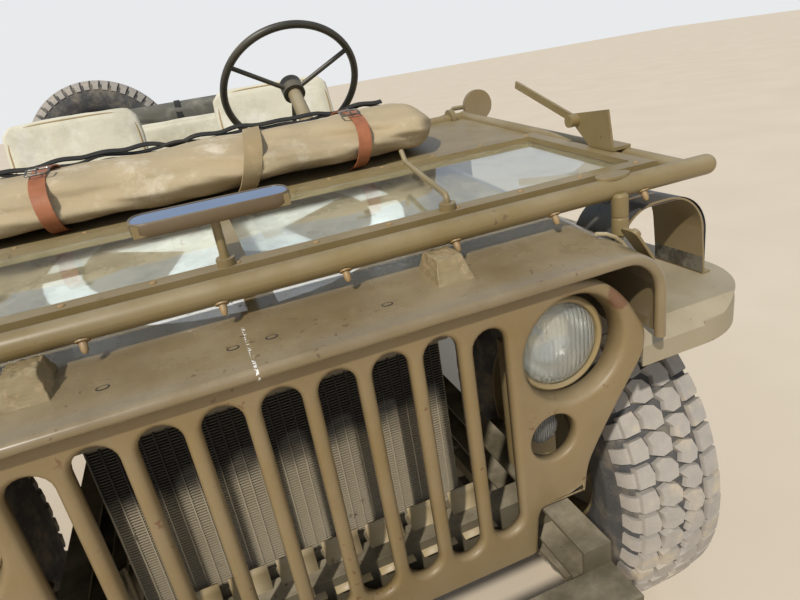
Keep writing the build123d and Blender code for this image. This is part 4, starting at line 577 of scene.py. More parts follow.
lamp_paint = painted("lamp_paint", rgb(140, 120, 78), dust=0.5, chips=0.6)
chrome, tree, shader, spot = new_material("reflector_metal")
haze = noise_node(tree, spot, 40, 3)
feed(tree, shader, {"Base Color": mix_colour(tree, haze, rgb(240, 238, 232), rgb(214, 208, 196)),
                    "Roughness": scaled(tree, haze, 0.25, 0.1), "Metallic": 1.0})
clear_lens = lens_glass("head_lamp_lens", rgb(226, 232, 226), 0.0075, 0.08)
grey_lens = lens_glass("marker_lens", rgb(190, 190, 184), 0.004, 0.3)
for side, label in ((1, "left"), (-1, "right")):
    head = facing_to((side * HEAD_X, HEAD_FRONT, HEAD_Z), (0, -1, 0))
    marker = facing_to((side * MARKER_X, MARKER_FRONT, MARKER_Z), (0, -1, 0))
    tail = facing_to((side * TAIL_X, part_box("rear_panel")[1].y, TAIL_Z), (0, 1, 0))
    bm = bmesh.new()
    lathe(bm, HEAD_BOWL, head, lids="start")
    box(bm, (side * POST_X - POST_HALF, POST_FRONT, POST_FOOT),
        (side * POST_X + POST_HALF, POST_BACK, POST_TOP))
    lathe(bm, MARKER_CASE, marker, lids="start")
    finish_piece(bm, "lamp_bowls_" + label, lamp_paint, "root", sharp=50)
    turned("reflector_" + label, chrome, "root", "lamp", 50, (REFLECTOR, head, 48, "end"),
           (BULB, head, 20, "end"))
    turned("lamp_lens_" + label, clear_lens, "root", "glass", 60, (HEAD_LENS, head, 64, "ring"))
    turned("marker_lens_" + label, grey_lens, "root", "glass", 60, (MARKER_LENS, marker, 36, "end"),
           (MARKER_BACK, marker, 36, "end"))
    turned("tail_lamp_" + label, lamp_paint, "root", "lamp", 40, (TAIL_CASE, tail, 48, "both"))
    tail_glass = lens_glass("tail_glass_" + label, rgb(120, 18, 14), 0.004, 0.25)
    turned("tail_lens_" + label, tail_glass, "root", "glass", 50, (TAIL_LENS, tail, 48, "end"))
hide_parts("lamps")


# Hood: a wide pressed steel lid with a rolled bead along its front lip. A white ring with a five-pointed
# star is stencilled on it, worn through in places, and a row of white dabs runs down the lip.
RING_CENTRE = (0.015, -1.085)
RING_OUTER, RING_INNER = 0.296, 0.240
STAR_OUTER, STAR_RATIO = 0.232, 0.382
BRIDGE_HALF = 0.020
DABS_X, DABS_REAR = -0.018, -1.42
HOOD_TOP_FROM = 0.90
hood_paint, tree, shader, spot = new_material("hood_paint")
x, y, z = axes(tree, spot)
across = math_node(tree, "SUBTRACT", x, RING_CENTRE[0])
along = math_node(tree, "SUBTRACT", y, RING_CENTRE[1])
far = math_node(tree, "SQRT", math_node(tree, "ADD", times(tree, across, across), times(tree, along, along)))
rough_edge = scaled(tree, noise_node(tree, spot, 70, 3), 0.006, far)
ring_mask = times(tree, step(tree, rough_edge, RING_INNER, RING_INNER + 0.004),
                  step(tree, rough_edge, RING_OUTER + 0.004, RING_OUTER))
bridge = math_node(tree, "MINIMUM", math_node(tree, "ABSOLUTE", across), math_node(tree, "ABSOLUTE", along))
ring_mask = times(tree, ring_mask, step(tree, bridge, BRIDGE_HALF - 0.001, BRIDGE_HALF + 0.001))
turn = math_node(tree, "PINGPONG", math_node(tree, "ARCTAN2", across, along), math.pi / 5)
reach = STAR_OUTER * STAR_RATIO
level = math_node(tree, "ADD",
                  times(tree, math_node(tree, "COSINE", turn), reach * math.sin(math.pi / 5)),
                  times(tree, math_node(tree, "SINE", turn), STAR_OUTER - reach * math.cos(math.pi / 5)))
star_edge = STAR_OUTER * reach * math.sin(math.pi / 5)
star_mask = step(tree, times(tree, level, rough_edge), star_edge * 1.01, star_edge * 0.98)
white = math_node(tree, "MAXIMUM", ring_mask, star_mask)
white = times(tree, white, step(tree, noise_node(tree, spot, 48, 5, 0.7), 0.28, 0.38))
white = times(tree, white, step(tree, z, HOOD_TOP_FROM, HOOD_TOP_FROM + 0.01))
from_dabs = math_node(tree, "ABSOLUTE", math_node(tree, "SUBTRACT", x, DABS_X))
dabs = times(tree, step(tree, from_dabs, 0.0022, 0.0012), step(tree, y, DABS_REAR, DABS_REAR - 0.01))
dabs = times(tree, dabs, step(tree, noise_node(tree, spot, 210, 1), 0.5, 0.56))
white = math_node(tree, "MAXIMUM", white, dabs)
worn(tree, shader, mix_colour(tree, white, rgb(122, 105, 74), rgb(240, 240, 236)), dust=0.4, chips=0.8,
     roughness=0.16, chip=rgb(96, 76, 54), dust_colour=rgb(178, 164, 134))
feed(tree, shader, {"Coat Weight": 0.5, "Coat Roughness": 0.12})
dress(hood_paint, "hood")


# Wood blocks: two sawn hardwood blocks, painted with the car and worn on top, on which the folded windshield
# rests. Each is screwed to the hood and tapers to a broken crest.
BLOCK_X, BLOCK_Y = 0.252, -1.427
BLOCK_HALF_X, BLOCK_HALF_Y = 0.0262, 0.039
BLOCK_TAPER_X, BLOCK_TAPER_Y = 0.30, 0.42
BLOCK_CUTS, BLOCK_SINK = 9, 0.003
RAGGED, RAGGED_PER_BLOCK = 0.0022, 2.3
CREST, CREST_PER_BLOCK = 0.0035, 3.1
block_low, block_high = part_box("hood_blocks")
wood_paint, tree, shader, spot = new_material("painted_wood")
stretch = add(tree, "ShaderNodeMapping", {"Vector": spot, "Scale": (8.0, 60.0, 60.0)}).outputs[0]
grain = noise_node(tree, stretch, 3.0, 5, 0.6)
bare = mix_colour(tree, grain, rgb(128, 104, 68), rgb(170, 146, 104))
worn_off = step(tree, noise_node(tree, spot, 55, 4, 0.65), 0.50, 0.58)
worn(tree, shader, mix_colour(tree, worn_off, rgb(132, 114, 76), bare), dust=0.5, chips=0.7, roughness=0.62,
     chip=rgb(96, 76, 52), relief=(grain, 0.002, 0.6))
bm = bmesh.new()
for side in (1, -1):
    known = len(bm.verts)
    corners = box(bm, (-1, -1, -1), (1, 1, 1))
    edges = list({edge for vertex in corners for edge in vertex.link_edges})
    bmesh.ops.subdivide_edges(bm, edges=edges, cuts=BLOCK_CUTS, use_grid_fill=True)
    for vertex in bm.verts[:][known:]:
        x, y, z = vertex.co
        high = (z + 1) / 2
        ragged = RAGGED * noise.noise(Vector((x, y, z)) * RAGGED_PER_BLOCK + Vector((0, 0, side * 9)))
        crest = noise.noise(Vector((x * CREST_PER_BLOCK, side * 4, y * CREST_PER_BLOCK))) - 0.2
        vertex.co = (side * BLOCK_X + x * (1 - BLOCK_TAPER_X * high) * BLOCK_HALF_X + ragged,
                     BLOCK_Y + y * (1 - BLOCK_TAPER_Y * high) * BLOCK_HALF_Y + ragged,
                     block_low.z - BLOCK_SINK + high * (block_high.z - block_low.z + 0.002 + crest * CREST))
blocks = finish_piece(bm, "worn_wood_blocks", wood_paint, "root", sharp=28, bevel=0.0012)
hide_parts("hood_blocks")


# Windshield: a welded tube frame, folded forwards about its foot, holds an inner frame with two panes. Acorn
# nuts under the top tube, round screws, saddle plates and screw latches are bolted to it.
LEAN = 4.1
FOLD_PIVOT = (0, -0.649, 1.034)
FOLD = Matrix.Translation(FOLD_PIVOT) @ Matrix.Rotation(math.radians(90 + LEAN), 4, "X")
TUBE_UP, TUBE_RADIUS = 0.753, 0.016
STUD_PITCH, STUD_SHIFT = 0.157, -0.033
STUD_WAY = Vector((0, -0.75, 0.55)).normalized()
STUD = [(0.0085, 0), (0.0085, 0.002), (0.0048, 0.0022), (0.0048, 0.008), (0.0042, 0.013), (0.002, 0.016)]
SCREW_PITCH, SCREW_LEVELS, SCREW_FORWARD = 0.105, (0.386, 0.704), 0.013
SCREW = [(0.0045, -0.002), (0.0045, 0.0008), (0.003, 0.002)]
PLATE_X, PLATE_OUT, PLATE_IN, PLATE_HALF_HEIGHT = 0.545, 0.0351, 0.0234, 0.015
PLATE_LEVELS = (0.0145, 0.0195)
LATCH_X, LATCH_Y, LATCH_UP = 0.548, -0.008, TUBE_UP + 0.014
LATCH = [(0.009, 0.004), (0.0125, 0.0), (0.0125, -0.030), (0.0118, -0.031), (0.0118, -0.033),
         (0.0125, -0.034), (0.0125, -0.058), (0.010, -0.061)]
HOOK = ((0, 0, -0.058), (0, 0.001, -0.074), (0, 0.006, -0.082), (0, 0.012, -0.080), (0, 0.013, -0.072))
HOOK_RADIUS = 0.0028


def wire(bm, path, radius, count=8):
    """Round rods from each point of a path to the next, apart from points that coincide."""
    for start, end in zip(path, path[1:]):
        run = Vector(end) - Vector(start)
        if run.length > 1e-5:
            lathe(bm, [(radius, 0), (radius, run.length)], facing_to(start, run), count, "both")


def prism(bm, *outlines):
    """A plate between outlines, with a lid on the first and on the last."""
    rows = [[bm.verts.new(point) for point in outline] for outline in outlines]
    lofted(bm, rows)
    bm.faces.new(rows[0])
    bm.faces.new(rows[-1])


frame_paint = painted("windshield_paint", rgb(128, 110, 70), dust=0.4, chips=0.6, roughness=0.3)
nut_paint = painted("nut_tan", rgb(150, 122, 78), dust=0.3, chips=0.4, roughness=0.4)
bare_steel, tree, shader, spot = new_material("galvanised_steel")
stain = step(tree, noise_node(tree, spot, 22, 6, 0.7), 0.44, 0.62)
feed(tree, shader, {"Base Color": mix_colour(tree, stain, rgb(152, 150, 142), rgb(96, 90, 80)),
                    "Roughness": scaled(tree, stain, 0.3, 0.34), "Metallic": 0.75})
dress(frame_paint, "windshield_frame", "windshield_fittings")
stud_spots = [Vector((STUD_SHIFT + STUD_PITCH * k, 0, TUBE_UP)) + STUD_WAY * (TUBE_RADIUS - 0.001)
              for k in range(-4, 5)]
turned("windshield_studs", nut_paint, "windshield", "paint", 35,
       *[(STUD, facing_to(FOLD @ spot, FOLD.to_3x3() @ STUD_WAY), 14, "end") for spot in stud_spots])
turned("windshield_screws", nut_paint, "windshield", "paint", 35,
       *[(SCREW, facing_to(FOLD @ Vector((k * SCREW_PITCH, SCREW_FORWARD, up)),
                           FOLD.to_3x3() @ Vector((0, 1, 0))), 12, "end")
         for k in range(-6, 7) for up in SCREW_LEVELS])
plates = bmesh.new()
hooks = bmesh.new()
plate = [(PLATE_X + x * (PLATE_OUT if x > 0 else PLATE_IN), TUBE_UP - 0.006 + z * PLATE_HALF_HEIGHT)
         for x, z in circle(0, 0, 1, 24)]
for side in (1, -1):
    prism(plates, *[[FOLD @ Vector((side * x, level, z)) for x, z in plate] for level in PLATE_LEVELS])
    latch_top = FOLD @ Vector((side * LATCH_X, LATCH_Y, LATCH_UP))
    lathe(plates, LATCH, Matrix.Translation(latch_top), 24, "both")
    wire(hooks, [latch_top + Vector(point) for point in HOOK], HOOK_RADIUS, 10)
finish_piece(plates, "windshield_latches", frame_paint, "windshield", bevel=0.0006)
finish_piece(hooks, "latch_rods", bare_steel, "windshield")

glass, tree, shader, spot = new_material("windshield_glass")
smear = step(tree, noise_node(tree, spot, 7, 6, 0.7), 0.45, 0.75)
feed(tree, shader, {"Base Color": mix_colour(tree, smear, rgb(232, 240, 240), rgb(196, 204, 206)),
                    "Roughness": scaled(tree, smear, 0.07, 0.02), "Transmission Weight": 0.97, "IOR": 1.5})
clear = add(tree, "ShaderNodeBsdfTransparent", {"Color": (0.94, 0.96, 0.96, 1)}).outputs[0]
ray = add(tree, "ShaderNodeLightPath").outputs["Is Shadow Ray"]
sunlit = add(tree, "ShaderNodeMixShader", {0: ray, 1: shader.outputs[0], 2: clear})
feed(tree, tree.nodes["Material Output"], {"Surface": sunlit.outputs[0]})
dress(glass, "windshield_glass")

MIRROR_HALF_X, MIRROR_HALF_Y, MIRROR_CORNER = 0.097, 0.0275, 0.024
MIRROR_SHELL = ((-0.0095, 0.008), (-0.0085, 0.003), (-0.003, 0.0), (0.0085, 0.0), (0.0095, 0.001),
                (0.0095, 0.003), (0.0083, 0.0035))
MIRROR_GLASS = (0.0087, 0.003)
MIRROR_SPOT = Vector((-0.014, 0.085, 0.704))
mirror_place = Matrix.Translation(FOLD @ MIRROR_SPOT) @ Matrix.Rotation(math.radians(LEAN), 4, "X")
mirror_face, tree, shader, spot = new_material("mirror_glass")
haze = noise_node(tree, spot, 14, 4)
feed(tree, shader, {"Base Color": mix_colour(tree, haze, rgb(176, 196, 222), rgb(150, 174, 206)),
                    "Roughness": 0.04, "Metallic": 1.0})
mirror_outline = rounded([(MIRROR_HALF_X, MIRROR_HALF_Y), (-MIRROR_HALF_X, MIRROR_HALF_Y),
                          (-MIRROR_HALF_X, -MIRROR_HALF_Y), (MIRROR_HALF_X, -MIRROR_HALF_Y)],
                         [MIRROR_CORNER] * 4)


def mirror_ring(bm, height, shrink):
    """The mirror's outline at a height over its middle, drawn in by a distance."""
    return [bm.verts.new(mirror_place @ Vector((x, y, height))) for x, y in inset(mirror_outline, shrink)]


bm = bmesh.new()
levels = [mirror_ring(bm, height, shrink) for height, shrink in MIRROR_SHELL]
lofted(bm, levels)
bm.faces.new(levels[0])
finish_piece(bm, "inner_mirror_case", painted("mirror_shell_paint", rgb(96, 78, 52), dust=0.3, chips=0.3,
                                              roughness=0.3), "windshield", sharp=50)
bm = bmesh.new()
bm.faces.new(mirror_ring(bm, *MIRROR_GLASS))
finish_piece(bm, "inner_mirror_glass", mirror_face, "windshield")


# Hood catches and lip: a rounded tongue bolted to each fender, with a wire loop hooked over the hood's
# corner, and small oval drain holes behind the lip. They are pressed and bent steel. Each hole is drawn as a
# raised dark disc whose colour is painted shade for the hole's dark inside.
CATCH_PLACE, CATCH_TILT = (0.531, -1.470, 0.911), 55
CATCH_OUTLINE = rounded([(0.034, 0.014), (-0.034, 0.017), (-0.034, -0.017), (0.034, -0.014)], [0.012] * 4)
CATCH_SHEET, CATCH_BOLT, BOLT_X = 0.0045, [(0.008, 0.0), (0.008, 0.008), (0.005, 0.010)], 0.018
LOOP_X, LOOP_Y, LOOP_Z, LOOP_RADIUS, LOOP_WIRE = 0.468, -1.450, 0.867, 0.071, 0.003
LOOP_TURNS = (1.45, 1.2, 0.95, 0.7, 0.45, 0.2)
DRAIN_HOLE = [(0.0052, -0.001), (0.0050, 0.0006), (0.0040, 0.0004), (0.0036, -0.0004)]
DRAIN_SPOTS = ((-0.175, -1.470), (-0.035, -1.466), (0.010, -1.466), (0.154, -1.468))
LIP_FRONT, LIP_HEIGHT, HOOD_RISE = -1.520, 0.926, 0.078 / 0.830
catches = bmesh.new()
loops = bmesh.new()
for side in (1, -1):
    tongue = (Matrix.Translation((side * CATCH_PLACE[0], *CATCH_PLACE[1:])) @
              Matrix.Rotation(side * math.radians(CATCH_TILT), 4, "Y"))
    prism(catches, *[[tongue @ Vector((x, y, level)) for x, y in CATCH_OUTLINE]
                     for level in (0, CATCH_SHEET)])
    lathe(catches, CATCH_BOLT, tongue @ Matrix.Translation((-side * BOLT_X, 0, 0.003)), 6, "both")
    wire(loops, [(side * (LOOP_X + LOOP_RADIUS * math.cos(turn)), LOOP_Y,
                  LOOP_Z + LOOP_RADIUS * math.sin(turn)) for turn in LOOP_TURNS], LOOP_WIRE, 10)
finish_piece(catches, "hood_catches", frame_paint, "root", sharp=30, bevel=0.0008)
worn_loop = painted("worn_loop", rgb(176, 160, 124), dust=0.4, chips=0.9)
finish_piece(loops, "catch_loops", worn_loop, "root")
# painted shade: the drain holes are dark discs, coloured to stand in for the shade inside each hole
painted_hole_shade, tree, shader, spot = new_material("painted_hole_shade")
hole_shade_tone = mix_colour(tree, noise_node(tree, spot, 26, 4), rgb(34, 33, 31), rgb(66, 62, 54))
feed(tree, shader, {"Base Color": hole_shade_tone, "Roughness": 0.75})
oval = Matrix.Diagonal((1.5, 1, 1, 1))
turned("hood_drain_holes", painted_hole_shade, "root", "paint", 35,
       *[(DRAIN_HOLE, Matrix.Translation((x, y, LIP_HEIGHT + (y - LIP_FRONT) * HOOD_RISE)) @ oval, 16, "end")
         for x, y in DRAIN_SPOTS])


# Instruments: five dials in the middle of the dash, each a flat face in a raised bezel, all in black. They are
# pressed cases, pushed through the dash and clamped behind it.
DASH_REAR, COWL_CREST = -0.5095, 1.016
dials = [(0, 0.062, 0.084)] + [(x, below, 0.054) for below in (0.046, 0.104) for x in (0.082, -0.082)]
turned("dash_dials", painted("dial_black", rgb(40, 40, 38), dust=0.3, chips=0.2), "root", "paint", 35,
       *[([(diameter / 2, 0.0), (diameter / 2, 0.005), (diameter / 2 - 0.002, 0.0065),
           (diameter / 2 - 0.005, 0.0055), (diameter / 2 - 0.006, 0.002)],
          facing_to((x, DASH_REAR, COWL_CREST - below), (0, 1, 0)), 40, "end")
         for x, below, diameter in dials])


# Canvas: a tan cover rolled up and strapped on the windshield, and the dark folded top on its bow. Both are
# proofed cotton duck with sewn seams, creased by their straps and worn pale on the folds.
ROLL_ALONG, ROLL_ROUND = 220, 72
LOOSE_EDGE, LOOSE_WIDTH = 1.9, 0.22


def canvas(name, colour, pale, weave=900.0):
    """Woven cotton with worn patches, stains and creases."""
    material, tree, shader, spot = new_material(name)
    stretched = [add(tree, "ShaderNodeMapping", {"Vector": spot, "Scale": scale}).outputs[0]
                 for scale in ((weave, 60, 60), (60, weave, weave), (9, 26, 26))]
    threads, cross = noise_node(tree, stretched[0], 1, 2), noise_node(tree, stretched[1], 1, 2)
    cloth = math_node(tree, "ADD", threads, cross)
    faded = step(tree, noise_node(tree, spot, 9, 6, 0.7), 0.48, 0.72)
    stains = step(tree, noise_node(tree, spot, 4.3, 5, 0.65), 0.5, 0.7)
    base = mix_colour(tree, faded, colour, pale)
    base = mix_colour(tree, times(tree, stains, 0.22), base, rgb(96, 84, 62))
    feed(tree, shader, {"Base Color": mix_colour(tree, times(tree, cloth, 0.12), base, rgb(40, 36, 28)),
                        "Roughness": 0.92})
    raised(tree, shader, scaled(tree, cloth, 0.08, noise_node(tree, stretched[2], 1, 5)), 0.006, 0.5)
    return material


def squareness(wide, tall):
    """How far a rounded square reaches beyond a circle in a direction."""
    return 0.62 + 0.38 * (abs(wide) ** 4 + abs(tall) ** 4) ** -0.25


def roll(bm, low, high, seed, lump, folds, spiral, fill=0.93):
    """A lumpy roll of cloth along X between two corners, with sagging folds and a loose edge on top."""
    middle = [(a + b) / 2 for a, b in zip(low, high)]
    half = [(b - a) / 2 for a, b in zip(low, high)]
    rings = []
    for i in range(ROLL_ALONG + 1):
        t = i / ROLL_ALONG
        x = low[0] + (high[0] - low[0]) * t
        ends = min(1.0, 0.35 + 0.65 * math.sin(math.pi * min(1, min(t, 1 - t) * 16 + 0.02) / 2))
        ring = []
        for k in range(ROLL_ROUND):
            turn = 2 * math.pi * k / ROLL_ROUND
            wide, tall = math.cos(turn), math.sin(turn)
            lumps = noise.noise(Vector((x * 4.0, wide * 1.2, tall * 1.2 + seed))) * lump
            lumps += noise.noise(Vector((x * 13 + tall * 2.2, wide * 2.6, tall * 2.6 + seed))) * lump * 0.55
            ridge = math.sin(turn * folds + x * 5 + 2.2 * noise.noise(Vector((x * 3, seed, turn))))
            loose = (turn - LOOSE_EDGE - 0.25 * noise.noise(Vector((x * 2, seed, 0)))) / LOOSE_WIDTH
            edge = spiral * math.exp(-loose ** 2)
            size = ends * (fill + lumps + 0.025 * ridge + edge * 0.5) * squareness(wide, tall)
            size = min(size, 1.0 / max(abs(wide), abs(tall)))
            ring.append((x, middle[1] + wide * size * half[1], middle[2] + tall * size * half[2]))
        rings.append(ring)
    prism(bm, *rings)


cover_low, cover_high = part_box("stowed_cover")
bm = bmesh.new()
roll(bm, cover_low + Vector((0, 0.004, 0.004)), cover_high, 3.0, lump=0.16, folds=4, spiral=0.16)
cover_canvas = canvas("cover_canvas", rgb(186, 167, 132), rgb(226, 214, 190))
cover = finish_piece(bm, "rolled_cover", cover_canvas, "windshield", sharp=80)
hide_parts("stowed_cover")
top_low, top_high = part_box("folded_top")
bm = bmesh.new()
roll(bm, top_low, top_high, 11.0, lump=0.17, folds=6, spiral=0.12, fill=1.03)
top_canvas = canvas("folded_top_canvas", rgb(104, 102, 92), rgb(142, 138, 124))
folded_top = finish_piece(bm, "folded_canvas_top", top_canvas, "root", sharp=80)
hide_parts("folded_top")


# Straps: orange-tan leather and pale cotton webbing, buckled round the rolled cover and the folded top. Each
# is a thin band that follows the roll, and a dark lacing runs along the cover's rear edge.
STRAP_STEPS, STRAP_LIFT = 26, 0.004
BUCKLE_WIDTH, BUCKLE_HALF, BUCKLE_TILT, BUCKLE_Y = 0.036, 0.013, 0.25, -0.950
BUCKLE_WIRE, TONGUE_WIRE = 0.0018, 0.0014


def band(bm, path, width, thick, along):
    """A flat band along a path. Along is the band's width direction."""
    side = Vector(along).normalized() * width / 2
    rows = []
    for i, here in enumerate(path):
        before, after = Vector(path[max(i - 1, 0)]), Vector(path[min(i + 1, len(path) - 1)])
        up = (after - before).normalized().cross(side).normalized() * thick / 2
        rows.append([Vector(here) + corner for corner in (side + up, -side + up, -side - up, side - up)])
    prism(bm, *rows)


def over_roll(low, high, x_front, x_back, start=-0.35, end=1.12):
    """A path over a roll from its front foot to its rear one."""
    middle = (low + high) / 2
    half = (high - low) / 2 + Vector((0, STRAP_LIFT, STRAP_LIFT))
    path = []
    for i in range(STRAP_STEPS + 1):
        t = i / STRAP_STEPS
        turn = math.pi * (1 - start - (end - start) * t)
        wide, tall = math.cos(turn), math.sin(turn)
        size = squareness(wide, tall)
        path.append((x_front + (x_back - x_front) * t, middle.y + wide * size * half.y,
                     middle.z + tall * size * half.z))
    return path


leather, tree, shader, spot = new_material("strap_leather")
rub = noise_node(tree, spot, 42, 5, 0.65)
feed(tree, shader, {"Base Color": mix_colour(tree, rub, rgb(118, 66, 38), rgb(184, 116, 76)),
                    "Roughness": 0.55})
raised(tree, shader, noise_node(tree, spot, 480, 3), 0.0006, 0.4)
webbing = canvas("cotton_webbing", rgb(170, 148, 108), rgb(196, 176, 138), weave=1400.0)
dark_strap = canvas("dark_webbing", rgb(40, 40, 38), rgb(60, 58, 52))
for name, material, width, thick, runs in (
        ("leather_straps", leather, 0.026, 0.0026, ((0.285, 0.330, 0.12), (-0.255, -0.275, 0.05))),
        ("webbing_straps", webbing, 0.036, 0.0022, ((0.060, 0.150, 0.3), (-0.420, -0.380, 0.1)))):
    bm = bmesh.new()
    for x_front, x_back, skew in runs:
        band(bm, over_roll(cover_low, cover_high, x_front, x_back), width, thick, (1, skew, 0))
    finish_piece(bm, name, material, "windshield")
bm = bmesh.new()
for x in (0.294, -0.262):
    place = Matrix.Translation((x, BUCKLE_Y, cover_high.z + 0.006)) @ Matrix.Rotation(BUCKLE_TILT, 4, "X")
    half = BUCKLE_WIDTH / 2
    ring = [place @ Vector((px, py, 0)) for px, py in
            rounded([(-half, -BUCKLE_HALF), (half, -BUCKLE_HALF), (half, BUCKLE_HALF), (-half, BUCKLE_HALF)],
                    [0.004] * 4, 3)]
    wire(bm, ring + ring[:1], BUCKLE_WIRE)
    wire(bm, [place @ Vector((0, -0.014, 0.002)), place @ Vector((0, 0.014, 0.003))], TONGUE_WIRE)
finish_piece(bm, "strap_buckles", bare_steel, "windshield")
bm = bmesh.new()
for x in (-0.42, 0.02, 0.44):
    band(bm, over_roll(top_low, top_high, x, x + 0.012, start=-0.45, end=1.45), 0.030, 0.003, (1, 0, 0))
finish_piece(bm, "top_straps", dark_strap, "root")
LACING_FROM, LACING_LENGTH, LACING_STEPS = -0.54, 0.98, 89
bm = bmesh.new()
for strand in range(3):
    path = []
    for k in range(LACING_STEPS + 1):
        x = LACING_FROM + LACING_LENGTH * k / LACING_STEPS
        sway = noise.noise(Vector((x * 11, strand * 5.0, 0)))
        lift = noise.noise(Vector((x * 14, strand * 3.0, 7)))
        path.append((x, cover_high.y - 0.012 + 0.020 * sway,
                     cover_high.z - 0.016 + 0.016 * strand / 2 + 0.014 * lift))
    band(bm, path, 0.012, 0.003, (0, 1, 0.3 * strand))
finish_piece(bm, "dark_lacing", dark_strap, "windshield")
dress(painted("bow_paint", rgb(116, 102, 68), dust=0.5), "top_bow")


# Seats: padded canvas cushions in faded sage green on tube frames, piped round their edges. The front ones
# are single seats and the rear one is a bench with a padded rest.
PASSENGER_X, SEAT_HALF = -0.360, 0.230
SEAT_FRONT, SEAT_DEPTH, SEAT_TOP, SEAT_PAD = -0.130, 0.440, 0.850, 0.070
BACK_HIGH, BACK_THICK, BACK_LEAN = 0.330, 0.064, 12
PIPING_HALF_X, PIPING_HALF_Z, PIPING_SIDE, PIPING_RADIUS = 0.2138, 0.1488, 0.0158, 0.0036
BENCH_HALF, BENCH_FRONT, BENCH_REAR = 0.478, 0.760, 1.100
BENCH_FOOT, BENCH_TOP = 0.79, 0.86
REST_THICK, REST_FOOT, REST_TOP = 0.075, 0.90, 1.09
PUFF = 0.010


def squircle(u, v):
    """Rounds the corners of a square that reaches from -1 to 1."""
    return u * math.sqrt(1 - 0.19 * v ** 4), v * math.sqrt(1 - 0.19 * u ** 4)


def cushion(name, body, low, high, place=Matrix.Identity(4), radius=0.030, seed=0.0, cuts=22):
    """A stuffed pad: a box with round edges, domed faces and small pulls along its seams."""
    bm = bmesh.new()
    middle = Vector([(a + b) / 2 for a, b in zip(low, high)])
    half = Vector([(b - a) / 2 for a, b in zip(low, high)])
    core = half - Vector([PUFF] * 3)
    radius = min(radius, min(half) - PUFF - 0.001)
    bmesh.ops.create_cube(bm, size=2)
    bmesh.ops.subdivide_edges(bm, edges=bm.edges[:], cuts=cuts, use_grid_fill=True)
    wide, long = sorted(range(3), key=lambda axis: half[axis])[1:]
    for vertex in bm.verts:
        flat = vertex.co.copy()
        unit = flat.copy()
        unit[wide], unit[long] = squircle(flat[wide], flat[long])
        inner = Vector([max(-(h - radius), min(h - radius, u * h)) for u, h in zip(unit, core)])
        full = Vector([u * (h - PUFF) for u, h in zip(unit, half)])
        out_way = full - inner
        spot = inner + (out_way.normalized() * radius if out_way.length > 1e-6 else Vector())
        for axis in range(3):
            if abs(flat[axis]) > 0.999:
                others = [flat[k] for k in range(3) if k != axis]
                dome = (1 - others[0] ** 2) * (1 - others[1] ** 2)
                pull = noise.noise(Vector((spot.x * 14, spot.y * 14, spot.z * 14 + seed))) * 0.35
                spot[axis] += math.copysign(PUFF * dome ** 0.5 * (0.85 + pull), unit[axis])
        vertex.co = place @ (middle + spot)
    pad = finish_piece(bm, name, seat_cloth, body, sharp=80)
    return pad


seat_cloth = canvas("seat_canvas", rgb(222, 216, 192), rgb(238, 233, 216), weave=1100.0)
dress(painted("seat_tube_paint", rgb(116, 104, 72), dust=0.4), "passenger_seat_frame", "fixed_seat_frames")
pads_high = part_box("passenger_seat_pads")[1]
bench_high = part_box("fixed_seat_pads")[1]
steps = [k / 8 - 1 for k in range(16)]
edge = [squircle(u * ux + x, u * uz + z)
        for ux, x, uz, z in ((1, 0, 0, 1), (0, 1, -1, 0), (-1, 0, 0, -1), (0, -1, 1, 0)) for u in steps]
for seat_x, body, label, node in ((PASSENGER_X, "passenger_seat", "passenger", "passenger_seat_pads"),
                                  (-PASSENGER_X, "root", "driver", "fixed_seat_pads")):
    base = cushion(label + "_cushion", body, (seat_x - SEAT_HALF, SEAT_FRONT, SEAT_TOP - SEAT_PAD),
                   (seat_x + SEAT_HALF, SEAT_FRONT + SEAT_DEPTH, SEAT_TOP), seed=seat_x)
    lean = Matrix.Rotation(math.radians(-BACK_LEAN), 4, "X")
    top_spot = lean @ Vector((0, BACK_THICK / 2, BACK_HIGH))
    foot = (seat_x, pads_high.y - top_spot.y - 0.002, pads_high.z - top_spot.z - 0.006)
    place = Matrix.Translation(foot) @ lean
    cushion(label + "_backrest", body, (-SEAT_HALF, -BACK_THICK / 2, 0),
            (SEAT_HALF, BACK_THICK / 2, BACK_HIGH), place, radius=0.031, seed=seat_x + 4)
    bm = bmesh.new()
    for y in (-PIPING_SIDE, PIPING_SIDE):
        seam = [place @ Vector((x * PIPING_HALF_X, y, BACK_HIGH / 2 + z * PIPING_HALF_Z)) for x, z in edge]
        wire(bm, seam + seam[:1], PIPING_RADIUS)
    finish_piece(bm, label + "_piping", webbing, body, sharp=60)
    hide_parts(node)
cushion("rear_cushion", "root", (-BENCH_HALF, BENCH_FRONT, BENCH_FOOT), (BENCH_HALF, BENCH_REAR, BENCH_TOP),
        seed=20, cuts=26)
cushion("rear_backrest", "root", (-BENCH_HALF, bench_high.y - REST_THICK, REST_FOOT),
        (BENCH_HALF, bench_high.y, REST_TOP), radius=0.034, seed=27, cuts=26)


# Tyres: wide all-terrain tyres in grey rubber. Interlocking tread blocks are moulded round each, with sand
# in the grooves. The wheels are pressed steel discs held by five nuts.
TYRE_RADIUS, TREAD_HALF = 0.375, 0.086
TREAD_STEPS, TREAD_DEPTH = 50, 0.009
TREAD_TURN = (-2 * math.pi / TREAD_STEPS, 0, 0)
CROWN_RADIUS, CROWN_DROP = TYRE_RADIUS - 0.0005 - TREAD_DEPTH, 0.008
TRACK_HALF, AXLES = 0.6225, (("front", -1.115), ("rear", 0.917))
SIDE = [(0.2035, 0.058), (0.207, 0.070), (0.216, 0.078), (0.219, 0.083), (0.250, 0.096), (0.285, 0.1018),
        (0.288, 0.1024), (0.292, 0.1018), (0.318, 0.100), (0.338, 0.0955), (0.350, 0.089), (0.3575, 0.080),
        (0.3625, 0.055), (0.3645, 0.02)]
CARCASS = SIDE + [(radius, -along) for radius, along in reversed(SIDE)] + [(0.215, -0.052), (0.215, 0.052)]
